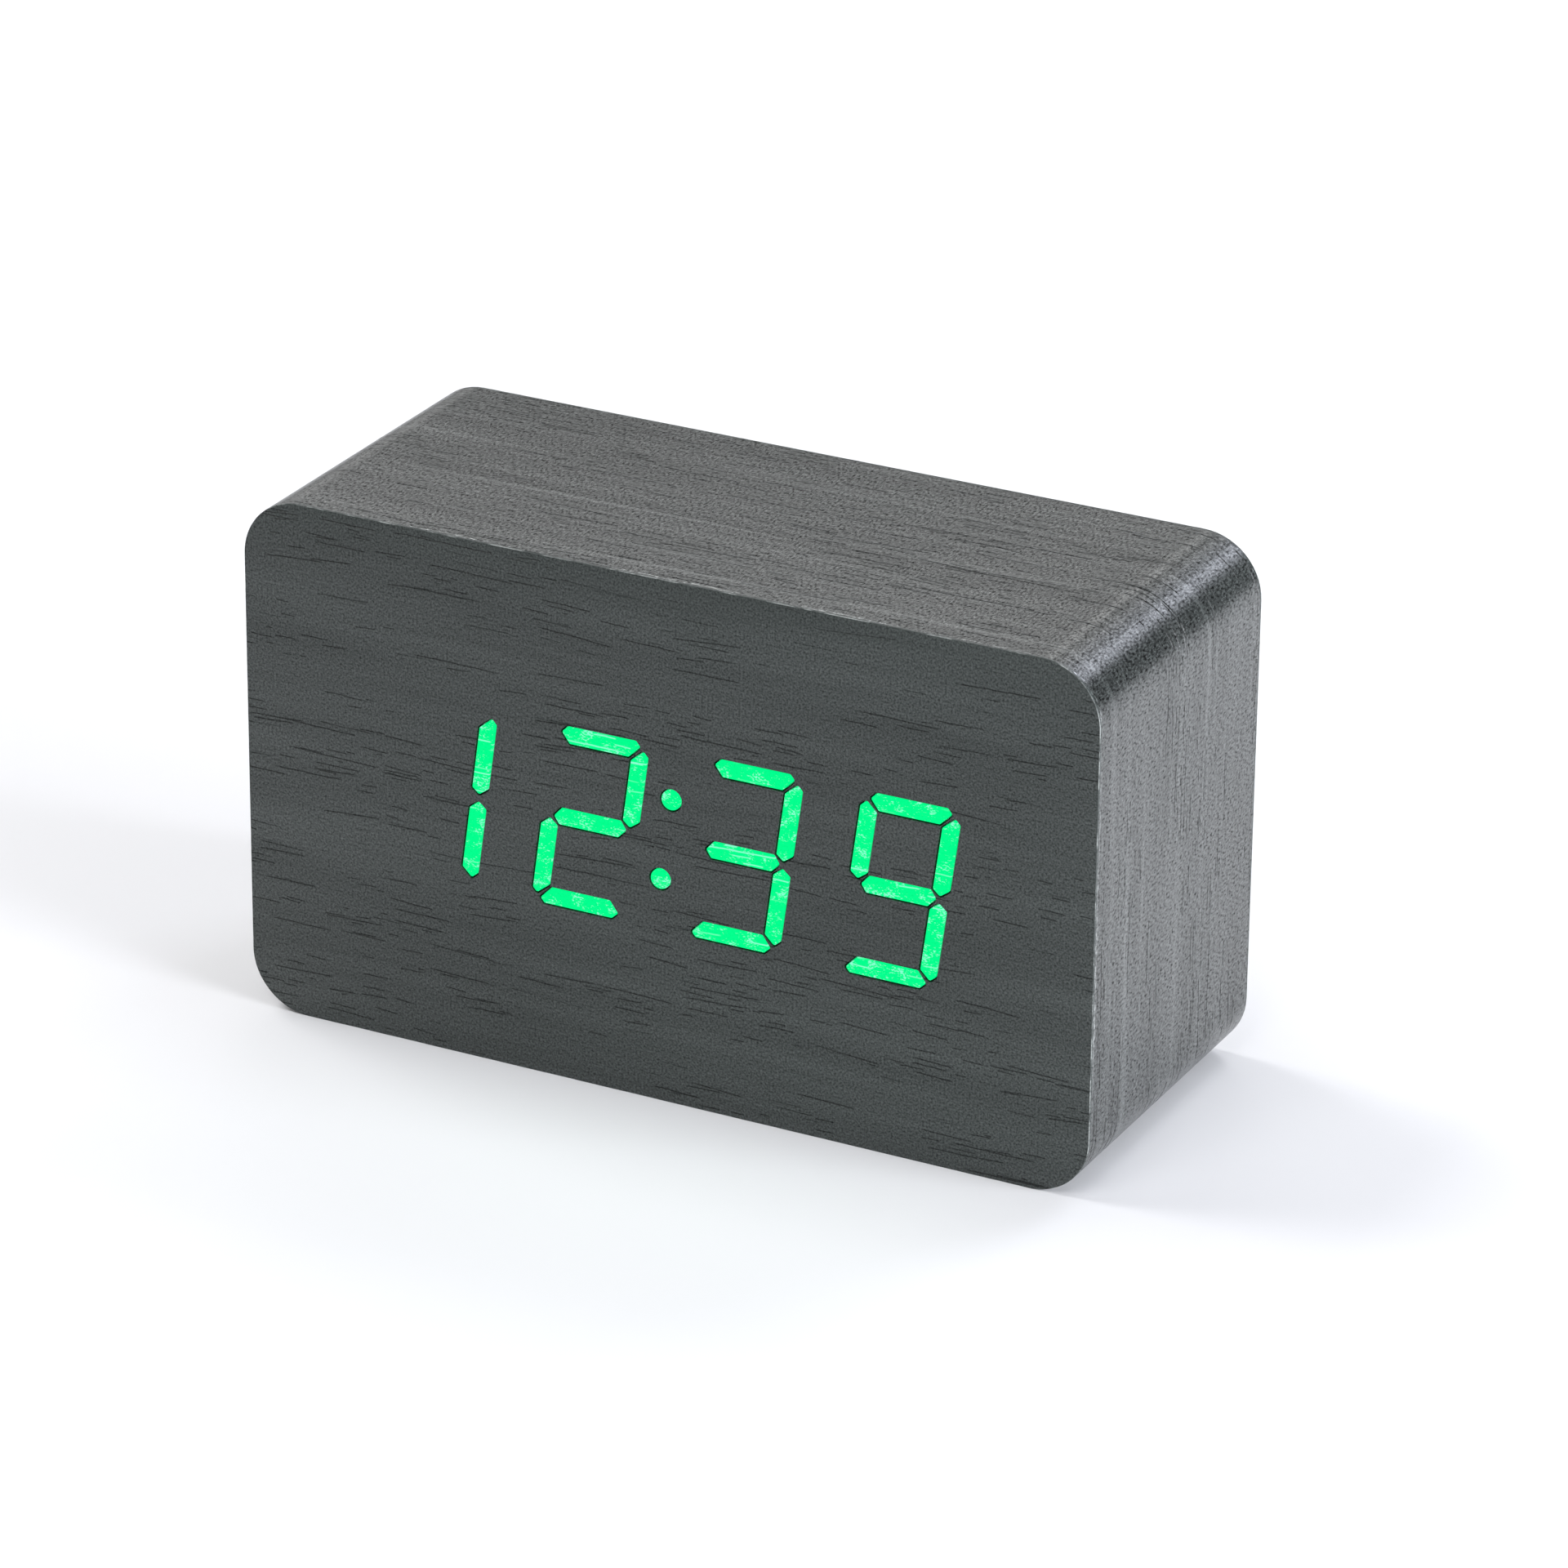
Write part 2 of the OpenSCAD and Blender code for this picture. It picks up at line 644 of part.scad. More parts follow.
module rear_cover() color("#1a1b1d") difference() {
    union() {
        along_y(cover_in, cover_out - 0.4, 0, cover_z) round_rect(cover_w, cover_h, cover_r);
        along_y(cover_out - 0.4, cover_out, 0, cover_z)
            round_rect(cover_w - 0.8, cover_h - 0.8, cover_r - 0.4);
        for (p = corners(boss_place, 0, cover_z)) rod_y(boss_d, main_back, cover_in, p.x, p.y);
        // raised rings round the keys
        for (i = [-1, 0, 1])
            rod_y(key_d + 3.2, cover_out, cover_out + 0.3, key_x + i * key_pitch, key_z);
    }
    for (p = corners(boss_place, 0, cover_z))
        rod_y(pilot_d, main_back - cut, main_back + 4.8, p.x, p.y);
    for (p = corners(cover_hole, 0, cover_z))
        on_back(p.x, cover_out, p.y) countersunk_hole(cover_t);
    for (i = [-1, 0, 1])
        rod_y(key_d + 2 * key_gap, cover_in - cut, cover_out + cut, key_x + i * key_pitch, key_z);
    along_y(cover_in - cut, cover_out + cut, switch_x, switch_z)
        square([slider_w + switch_travel + 0.6, slider_h + 0.5], center = true);
    along_y(cover_in - cut, cover_out + cut, usb_x, usb_z) usb_outline(0.7);
    along_y(cover_out - 0.8, cover_out + cut, usb_x, usb_z) round_rect(11.4, 6.6, 1);
    // sound holes over the buzzer and the microphone
    rod_y(1.4, cover_in - cut, cover_out + cut, buzzer_x, buzzer_z);
    for (a = [0 : 60 : 300])
        rod_y(1.4, cover_in - cut, cover_out + cut,
              buzzer_x + 3 * cos(a), buzzer_z + 3 * sin(a));
    rod_y(1.6, cover_in - cut, cover_out + cut, mic_x, mic_z);
    // vent slots over the temperature sensor
    for (i = [-1, 0, 1])
        along_y(cover_in - cut, cover_out + cut, vent_x, vent_z + i * 2.4)
            round_rect(8, 1.2, 0.59);
    // marks sunk beside the up and down keys, and a dot beside the set key
    along_y(cover_out - 0.25, cover_out + cut, key_x, key_z + 7.2) arrow_mark(true);
    along_y(cover_out - 0.25, cover_out + cut, key_x - key_pitch, key_z + 7.2) arrow_mark(false);
    rod_y(1.8, cover_out - 0.25, cover_out + cut, key_x + key_pitch, key_z + 7.2);
}

module cover_screws() color("#2c2d30") for (p = corners(cover_hole, 0, cover_z))
    on_back(p.x, cover_out, p.y) countersunk_screw(6);

// Key: a round cap through the cover with a flange behind it, and a dished top
module key(x) {
    flange_y = cover_in - 0.1 - key_flange_t;
    top_y = back_y - 0.15;
    difference() {
        union() {
            rod_y(key_flange_d, flange_y, flange_y + key_flange_t, x, key_z);
            rod_y(key_d, flange_y, top_y - 0.35, x, key_z);
            on_back(x, top_y - 0.35, key_z) cylinder(h = 0.35, d1 = key_d, d2 = key_d - 0.7);
        }
        on_back(x, top_y - 0.25, key_z) cylinder(h = 0.25 + cut, d1 = 3.4, d2 = 6.4);
    }
}

module plunger(x) {
    top = cover_in - 0.1 - key_flange_t;
    rod_y(plunger_d, main_back + tact_h - tact_bore_depth + key_travel + 0.05, top, x, key_z);
}

module set_key() color("#232427") key(key_x + key_pitch);
module up_key() color("#232427") key(key_x);
module down_key() color("#232427") key(key_x - key_pitch);
module set_plunger() color("#d8d3c4") plunger(key_x + key_pitch);
module up_plunger() color("#d8d3c4") plunger(key_x);
module down_plunger() color("#d8d3c4") plunger(key_x - key_pitch);

module switch_lever() color("#101112")
    along_y(main_back + tact_h - 1.4, cover_in - 0.65, switch_x - switch_travel / 2, switch_z)
        square([1.8, 1.8], center = true);

// Slider: a plate behind the cover and a ribbed thumb piece through its slot
module switch_slider() color("#232427") {
    x = switch_x - switch_travel / 2;
    plate_y = cover_in - 0.65;
    along_y(plate_y, plate_y + 0.5, x, switch_z) square([10.6, 4.8], center = true);
    along_y(plate_y + 0.5, cover_out + 0.3, x, switch_z) square([slider_w, slider_h], center = true);
    for (i = [-1, 0, 1])
        along_y(cover_out + 0.3, cover_out + 0.7, x + i * 1.25, switch_z)
            square([0.6, slider_h], center = true);
}

// ---------- battery bay ----------

// End positions of each cell along X: +1 if its cap points to +X
CAP_SIDE = [1, -1, 1];
CELL_Y = [for (i = [-1, 0, 1]) i * cell_pitch];

module battery_bay() color("#1a1b1d") {
    bay_shell();
    for (s = [-1, 1])
        rod_y(bead_d, s * tab_y - tab_w / 2, s * tab_y + tab_w / 2, hinge_x, hinge_z);
}

module bay_shell() difference() {
    union() {
        span([bay_x0, -bay_out_y, foil_t], [bay_x1, bay_out_y, bay_top]);
        span([bay_x0 - flange_w, -bay_out_y, foil_t], [bay_x1 + flange_w, bay_out_y, flange_z]);
    }
    difference() {
        span([-bay_l / 2, -bay_in_y, -cut], [bay_l / 2, bay_in_y, bay_top - bay_roof_t]);
        // ridges between the cells, under the roof
        for (y = [-cell_pitch / 2, cell_pitch / 2], x0 = [-16, 6])
            translate([x0, y, bay_top - bay_roof_t]) rotate([90, 0, 90])
                linear_extrude(10) polygon([[-1.6, 0.1], [1.6, 0.1], [0, -2]]);
    }
    // pockets for the door's tabs
    for (s = [-1, 1])
        span([hinge_x - tab_reach - 0.3, s * tab_y - tab_w / 2 - 0.4, hinge_z],
             [hinge_x + cut, s * tab_y + tab_w / 2 + 0.4, hinge_z + tab_pocket_h]);
    // finger scoop beside the latch
    translate([bay_l / 2 - 0.6, 0, foil_t - cut]) cylinder(h = cut + 0.9, d = latch_w);
    for (p = bay_screw_places())
        translate([p.x, p.y, foil_t]) rotate([180, 0, 0]) countersunk_hole(flange_t);
    // slots for the two wire tags
    for (p = [[bay_l / 2, -tag_y], [-bay_l / 2, tag_y]])
        span([p.x - 0.5, p.y - 1.3, bay_top - bay_roof_t - cut],
             [p.x + 0.5, p.y + 1.3, bay_top + cut]);
}

module bay_screws() color("#2c2d30") for (p = bay_screw_places())
    translate([p.x, p.y, foil_t]) rotate([180, 0, 0]) countersunk_screw(5);

// AAA cell along X with its cap towards side, its cap's end on the contact plate
module cell(y, side) {
    cap_x = side * (bay_l / 2 - contact_t);
    translate([cap_x, y, cell_z]) rotate([0, -90 * side, 0]) {
        cylinder(h = cap_l, d = cap_d);
        translate([0, 0, cap_l]) cylinder(h = 0.5, d1 = cell_d - 1, d2 = cell_d);
        translate([0, 0, cap_l + 0.5]) cylinder(h = cell_l - cap_l - 1, d = cell_d);
        translate([0, 0, cell_l - 0.5]) cylinder(h = 0.5, d1 = cell_d, d2 = cell_d - 1);
    }
}

module cell_front() color("#2f7d4f") cell(CELL_Y[0], CAP_SIDE[0]);
module cell_middle() color("#2f7d4f") cell(CELL_Y[1], CAP_SIDE[1]);
module cell_rear() color("#2f7d4f") cell(CELL_Y[2], CAP_SIDE[2]);

// Contact plate against an end wall, from y0 to y1
module contact_plate(end, y0, y1)
    span([end > 0 ? bay_l / 2 - contact_t : -bay_l / 2, y0, contact_z[0]],
         [end > 0 ? bay_l / 2 : -bay_l / 2 + contact_t, y1, contact_z[1]]);

// Tag that carries a wire up through the roof
module wire_tag(end, y)
    span([end > 0 ? bay_l / 2 - contact_t : -bay_l / 2, y - 1, contact_z[1]],
         [end > 0 ? bay_l / 2 : -bay_l / 2 + contact_t, y + 1, bay_top + 1.4]);

// Ring of points round a helix at angle a, for a wire that narrows from r0 to r1 over length l
SPRING_TURNS = 3.5;
SPRING_SIDES = 6;
SPRING_STEPS = 42;
function spring_ring(k, r0, r1, l) =
    let (
        f = k / SPRING_STEPS,
        a = 360 * SPRING_TURNS * f,
        r = r0 + (r1 - r0) * f,
        h = spring_wire + (l - 2 * spring_wire) * f
    )
    [for (j = [0 : SPRING_SIDES - 1])
        let (b = 360 * j / SPRING_SIDES, q = r + spring_wire * cos(b))
        [q * cos(a), q * sin(a), h + spring_wire * sin(b)]];

// Tapered coil spring along +Z from z = 0 to z = l
module coil_spring(r0, r1, l) {
    n = SPRING_SIDES;
    rings = [for (k = [0 : SPRING_STEPS]) spring_ring(k, r0, r1, l)];
    points = [for (ring = rings, p = ring) p];
    sides = [for (k = [0 : SPRING_STEPS - 1], j = [0 : n - 1])
        [k * n + j, k * n + (j + 1) % n, (k + 1) * n + (j + 1) % n, (k + 1) * n + j]];
    ends = [[for (j = [n - 1 : -1 : 0]) j], [for (j = [0 : n - 1]) SPRING_STEPS * n + j]];
    polyhedron(points, concat(sides, ends), convexity = 8);
}

// Spring at the flat end of a cell, on the end wall opposite the cell's cap
module cell_spring(y, cap_side)
    translate([-cap_side * (bay_l / 2 - contact_t), y, cell_z])
        rotate([0, 90 * cap_side, 0]) coil_spring(3.4, 2.4, spring_l);

module plus_contact() color("#c9ccd1") {
    contact_plate(1, CELL_Y[0] - contact_w / 2, CELL_Y[0] + contact_w / 2);
    wire_tag(1, -tag_y);
}

module minus_contact() color("#c9ccd1") {
    contact_plate(-1, CELL_Y[2] - contact_w / 2, CELL_Y[2] + contact_w / 2);
    wire_tag(-1, tag_y);
    cell_spring(CELL_Y[2], CAP_SIDE[2]);
}

module link_contacts() color("#c9ccd1") {
    contact_plate(-1, CELL_Y[0] - contact_w / 2, CELL_Y[1] + contact_w / 2);
    cell_spring(CELL_Y[0], CAP_SIDE[0]);
    contact_plate(1, CELL_Y[1] - contact_w / 2, CELL_Y[2] + contact_w / 2);
    cell_spring(CELL_Y[1], CAP_SIDE[1]);
}

// Point at u, from 0 to 1, on the smooth curve that passes a, b, c and d, between b and c
function curve_point(a, b, c, d, u) =
    (2 * b + (c - a) * u + (2 * a - 5 * b + 4 * c - d) * u * u
     + (3 * b - a - 3 * c + d) * u * u * u) / 2;

// Points of the smooth curve through a route, with a number of steps between its points
function curve(route, steps) = let (n = len(route)) [
    for (i = [0 : n - 2], j = [0 : steps - 1])
        curve_point(route[max(i - 1, 0)], route[i], route[i + 1], route[min(i + 2, n - 1)],
                    j / steps),
    route[n - 1]
];

// Ring of points round the curve at point k
function wire_ring(line, k) =
    let (
        along = line[min(k + 1, len(line) - 1)] - line[max(k - 1, 0)],
        side = cross(along, [1, 0, 0]),
        across = side / norm(side),
        up = cross(across, along / norm(along))
    )
    [for (j = [0 : WIRE_SIDES - 1])
        let (b = 360 * j / WIRE_SIDES) line[k] + wire_r * (across * cos(b) + up * sin(b))];

// Insulated wire along a route
WIRE_SIDES = 10;
module wire(route) {
    line = curve(route, 6);
    n = WIRE_SIDES;
    last = len(line) - 1;
    points = [for (k = [0 : last]) each wire_ring(line, k)];
    sides = [for (k = [0 : last - 1], j = [0 : n - 1])
        [k * n + j, (k + 1) * n + j, (k + 1) * n + (j + 1) % n, k * n + (j + 1) % n]];
    ends = [[for (j = [0 : n - 1]) j], [for (j = [n - 1 : -1 : 0]) last * n + j]];
    polyhedron(points, concat(sides, ends), convexity = 6);
}

WIRE_END_Y = main_y - wire_r - 0.35;
RED_ROUTE = [
    [bay_l / 2 - contact_t - wire_r, -tag_y, bay_top + 0.8], [22.6, -5.5, 16.2],
    [23, 2, 16.6], [24, 7, 18.4], [24.5, WIRE_END_Y, 22], [24.5, WIRE_END_Y, 25]
];
BLACK_ROUTE = [
    [-bay_l / 2 + contact_t + wire_r, tag_y, bay_top + 0.8], [-23.4, 6.2, 16.6],
    [-24, 6.6, 18.8], [-25, WIRE_END_Y, 22], [-25, WIRE_END_Y, 24.6]
];

module red_wire() color("#b3261e") wire(RED_ROUTE);
module black_wire() color("#1b1b1d") wire(BLACK_ROUTE);

// ---------- battery door ----------

// Side view of the door's hinge edge, round the hinge line, X along the door and Y up.
// Its slope lets the door swing open by as much as the slope leans.
module hinge_edge() {
    low = door_z - hinge_z;
    top = door_top - hinge_z;
    polygon([
        [door_gap, top], [door_gap + top - low, low], [riser_l + 3, low], [riser_l + 3, top]
    ]);
}

// Side view of a tab, which hooks over the flange from the door's inner face
module tab_profile()
    polygon([
        [-tab_reach, 0.05], [door_gap + 0.4, 0.05], [door_gap + 0.4, -0.3], [riser_l, -0.3],
        [riser_l, 0.05 + tab_t], [-tab_reach + 0.3, 0.05 + tab_t], [-tab_reach, 0.75]
    ]);

// Extrudes a side view, drawn round the hinge line, from y0 to y1
module along_hinge(y0, y1)
    translate([hinge_x, y1, hinge_z]) rotate([90, 0, 0]) linear_extrude(y1 - y0) children();

module battery_door() color("#1f2023") difference() {
    door_y = bay_in_y - door_gap;
    door_end = bay_l / 2 - door_gap;
    union() {
        along_hinge(-door_y, door_y) hinge_edge();
        span([hinge_x + riser_l + 2, -door_y, door_z], [door_end, door_y, door_top]);
        for (s = [-1, 1]) {
            along_hinge(s * tab_y - tab_w / 2, s * tab_y + tab_w / 2) tab_profile();
            // ribs that stiffen the inner face between the cells
            span([-18, s * tab_y - 0.4, door_top - 0.1], [14, s * tab_y + 0.4, door_top + 0.7]);
        }
        // latch upright behind the free end
        span([door_end - 1, -latch_w / 2 + 0.8, door_top - 0.4],
             [door_end - 0.1, latch_w / 2 - 0.8, 3.3]);
    }
    // grooves that turn on the bay's beads
    for (s = [-1, 1])
        rod_y(bead_d + 0.1, s * tab_y - tab_w / 2 - 0.3, s * tab_y + tab_w / 2 + 0.3,
              hinge_x, hinge_z);
    // slits beside the latch
    for (s = [-1, 1])
        span([door_end - latch_l, s * latch_w / 2 - latch_slit / 2, -cut],
             [door_end + cut, s * latch_w / 2 + latch_slit / 2, door_top + cut]);
    // grip grooves on the latch, and an arrow towards it
    for (i = [0 : 3])
        span([door_end - 3.4 - i * 1.4, -latch_w / 2 + 1.2, -cut],
             [door_end - 2.8 - i * 1.4, latch_w / 2 - 1.2, door_z + 0.35]);
    translate([door_end - latch_l - 4, 0, -cut])
        linear_extrude(cut + door_z + 0.3) polygon([[-2.4, -2.6], [-2.4, 2.6], [2, 0]]);
}

// Foam strip that keeps the middle cell from rattling
module door_pad() color("#3a3b3e")
    span([-9, -2.2, door_top], [9, 2.2, door_top + 0.4]);

wrap_foil();
front_foil();
rear_foil();
lit_hour_tens();
lit_hours();
lit_colon();
lit_minute_tens();
lit_minutes();
front_board();
case_frame();
rear_board();
light_mask();
diffuser_sheet();
reflector_block();
display_pcb();
led_chips();
driver_chips();
display_screws();
display_socket();
ribbon_cable();
main_pcb();
controller_chip();
clock_crystal();
backup_cell();
backup_cell_holder();
capacitors();
chip_resistors();
main_socket();
buzzer();
microphone();
thermistor();
tact_switches();
switch_housing();
usb_shell();
usb_insert();
board_screws();
rear_cover();
cover_screws();
set_key();
up_key();
down_key();
set_plunger();
up_plunger();
down_plunger();
switch_lever();
switch_slider();
battery_bay();
bay_screws();
cell_front();
cell_middle();
cell_rear();
plus_contact();
minus_contact();
link_contacts();
red_wire();
black_wire();
battery_door();
door_pad();
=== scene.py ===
"""Looks of a block-shaped desk alarm clock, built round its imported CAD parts.

Lengths are in metres and the frame is the CAD part's own: X runs along the width, the display
faces -Y, and Z = 0 is the base.
"""

import logging
import math
from dataclasses import dataclass, field
from enum import Enum

import bpy
import numpy as np
from mathutils import Matrix, Vector
from mathutils.geometry import tessellate_polygon


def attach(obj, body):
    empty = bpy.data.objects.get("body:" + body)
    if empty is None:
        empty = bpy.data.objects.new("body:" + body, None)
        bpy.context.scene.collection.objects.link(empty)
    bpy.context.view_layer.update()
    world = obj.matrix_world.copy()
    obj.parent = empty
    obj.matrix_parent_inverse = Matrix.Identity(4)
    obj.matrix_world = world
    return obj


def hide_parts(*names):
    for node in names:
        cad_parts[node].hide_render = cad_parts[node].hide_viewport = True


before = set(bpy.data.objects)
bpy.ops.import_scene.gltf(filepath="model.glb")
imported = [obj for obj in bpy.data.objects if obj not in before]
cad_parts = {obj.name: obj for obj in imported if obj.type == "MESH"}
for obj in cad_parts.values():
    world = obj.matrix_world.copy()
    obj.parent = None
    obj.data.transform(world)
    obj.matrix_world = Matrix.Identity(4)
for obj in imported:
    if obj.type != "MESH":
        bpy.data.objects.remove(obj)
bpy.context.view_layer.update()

MM = 0.001
CASE = "case"
WRAP_SHIFT = 400.0  # mm added to the wrap's depth, so that its pattern starts elsewhere
REAR_SHIFT = 240.0  # mm added along the rear foil's grain, for the same reason
SHARP_ANGLE = math.radians(35)  # faces that meet at more than this keep a sharp edge
PLASTIC_IOR = 1.5
LEAD = 0.25 * MM  # how far past each end of a round corner a point keeps the flat flat
log = logging.getLogger("desk_clock")

MAIN_OPTION = {"Math": "operation", "VectorMath": "operation", "MapRange": "interpolation_type"}
Node = bpy.types.Node
Socket = bpy.types.NodeSocket
Tree = bpy.types.NodeTree


# ---------------------------------------------------------------- shader helpers


def linear(colour: str) -> tuple[float, float, float, float]:
    """Turns an sRGB hex colour into linear values.

    Args:
        colour: six hex digits after a hash.

    Returns:
        Linear red, green and blue, and an alpha of 1.
    """
    raw = np.array([int(colour[i : i + 2], 16) for i in (1, 3, 5)]) / 255
    value = np.where(raw <= 0.04045, raw / 12.92, ((raw + 0.055) / 1.055) ** 2.4)
    return (*[float(v) for v in value], 1.0)


def feed(node: Node, inputs: dict) -> None:
    """Fills a node's inputs.

    Args:
        node: the node.
        inputs: input name or number to a value, or to the node or socket that feeds it.
    """
    for key, value in inputs.items():
        if isinstance(value, Node):
            value = value.outputs[0]
        if isinstance(value, Socket):
            node.id_data.links.new(value, node.inputs[key])
        else:
            node.inputs[key].default_value = value


def add(tree: Tree, kind: str, inputs: dict | None = None, **settings: object) -> Node:
    """Adds a node, sets its options, and fills or links its inputs.

    Args:
        tree: the node tree.
        kind: the node's type name without "ShaderNode", and after a dot its main option.
        inputs: what feeds each input, as for feed.
        **settings: the node's own options.

    Returns:
        The new node.
    """
    kind, _, option = kind.partition(".")
    node = tree.nodes.new("ShaderNode" + kind)
    if option:
        settings[MAIN_OPTION[kind]] = option
    for name, value in settings.items():
        setattr(node, name, value)
    feed(node, inputs or {})
    return node


def new_material(name: str) -> tuple[bpy.types.Material, Tree, Node]:
    """Makes an empty material with one Principled shader.

    Args:
        name: the material's name.

    Returns:
        The material, its node tree, and the shader.
    """
    material = bpy.data.materials.new(name)
    material.use_nodes = True
    tree = material.node_tree
    tree.nodes.clear()
    shader = add(tree, "BsdfPrincipled")
    add(tree, "OutputMaterial", {"Surface": shader.outputs[0]})
    return material, tree, shader


def relief(tree: Tree, shader: Node, height: object, depth: float) -> None:
    """Feeds a height from 0 to 1, worth depth metres, to a shader's normal."""
    bump = add(tree, "Bump", {"Height": height, "Distance": depth, "Strength": 1.0})
    feed(shader, {"Normal": bump})


def dimmed(tree: Tree, colour: object, level: object) -> Socket:
    """The colour multiplied by a level that varies over the surface."""
    inputs = {0: 1.0, 6: colour, 7: level}
    return add(tree, "Mix", inputs, data_type="RGBA", blend_type="MULTIPLY").outputs[2]


# ---------------------------------------------------------------- finishes


class Grain(Enum):
    """Where a foil's grain runs: the axes that count as along and across it."""

    FRONT = "front"
    REAR = "rear"
    WRAP = "wrap"


def object_mm(tree: Tree) -> Node:
    """Object coordinates in millimetres."""
    at = add(tree, "TexCoord").outputs["Object"]
    return add(tree, "Mapping", {0: at, 3: (1000, 1000, 1000)})


def grain_mm(tree: Tree, grain: Grain) -> Socket:
    """Coordinates in millimetres with X along the grain and Y across it.

    Args:
        tree: the node tree.
        grain: the face that the foil lies on.

    Returns:
        The coordinate's socket.
    """
    if grain is Grain.WRAP:
        at = add(tree, "UVMap", uv_map="foil")
        shift = (0, WRAP_SHIFT, 0)
        return add(tree, "Mapping", {0: at, 1: shift, 3: (1000, 1000, 1000)}).outputs[0]
    parts = add(tree, "SeparateXYZ", {0: object_mm(tree)})
    shift = 0.0 if grain is Grain.FRONT else REAR_SHIFT
    along = add(tree, "Math.ADD", {0: parts.outputs[0], 1: shift})
    return add(tree, "CombineXYZ", {0: along, 1: parts.outputs[2]}).outputs[0]


@dataclass(frozen=True)
class Pores:
    """One layer of open wood pores: a short stroke in each cell of a stretched cell pattern."""

    cell_length: float  # mm along the grain
    cell_width: float  # mm across it
    longest: float  # mm
    half_width: float  # mm
    share: float  # share of the cells that hold a pore where the wood is dense
    seed: float

    def mask(self, tree: Tree, at: object, dense: object, seed: float) -> Node:
        """Draws the layer.

        Args:
            tree: the node tree.
            at: grain coordinates in mm.
            dense: how crowded the pores are, from 0 to 1.
            seed: the foil's own shift of the pattern.

        Returns:
            1 in the middle of a pore and 0 between pores.
        """
        start = self.seed + seed
        size = (1 / self.cell_length, 1 / self.cell_width, 1)
        cell_at = add(tree, "Mapping", {0: at, 1: (start, start * 1.7, 0), 3: size})
        cell = add(tree, "TexVoronoi", {"Vector": cell_at, "Scale": 1.0}, voronoi_dimensions="2D")
        # offset from the middle of the cell in mm, leaned by up to one part in twenty
        middle = cell.outputs["Position"]
        away = add(tree, "VectorMath.SUBTRACT", {0: cell_at, 1: middle})
        real = (self.cell_length, self.cell_width, 1)
        away = add(tree, "VectorMath.MULTIPLY", {0: away, 1: real})
        along, across, _ = add(tree, "SeparateXYZ", {0: away}).outputs
        size_chance, lean_chance, there_chance = add(
            tree, "SeparateColor", {0: cell.outputs["Color"]}
        ).outputs
        lean = add(tree, "Math.MULTIPLY_ADD", {0: lean_chance, 1: -0.10, 2: 0.05})
        across = add(tree, "Math.MULTIPLY_ADD", {0: along, 1: lean, 2: across})
        across = add(tree, "Math.ABSOLUTE", {0: across})
        # half the stroke's length; the power makes short strokes more common than long ones
        half = add(tree, "Math.POWER", {0: size_chance, 1: 1.6})
        half = add(
            tree, "Math.MULTIPLY_ADD", {0: half, 1: self.longest * 0.4, 2: self.longest * 0.1},
        )
        reach = add(tree, "Math.ABSOLUTE", {0: along})
        reach = add(tree, "Math.DIVIDE", {0: reach, 1: half})
        # the stroke is soft at its sides and fades at its ends
        body = add(
            tree, "MapRange.SMOOTHSTEP",
            {0: across, 1: self.half_width * 0.25, 2: self.half_width * 1.5, 3: 1.0, 4: 0.0},
        )
        ends = add(tree, "MapRange", {0: reach, 1: 0.88, 2: 1.0, 3: 1.0, 4: 0.0})
        # a cell holds a stroke when its chance is under the share of cells that do
        need = add(tree, "Math.MULTIPLY", {0: dense, 1: self.share})
        spare = add(tree, "Math.SUBTRACT", {0: need, 1: there_chance})
        there = add(tree, "MapRange", {0: spare, 1: -0.02, 2: 0.12})
        body = add(tree, "Math.MULTIPLY", {0: body, 1: ends})
        return add(tree, "Math.MULTIPLY", {0: body, 1: there})


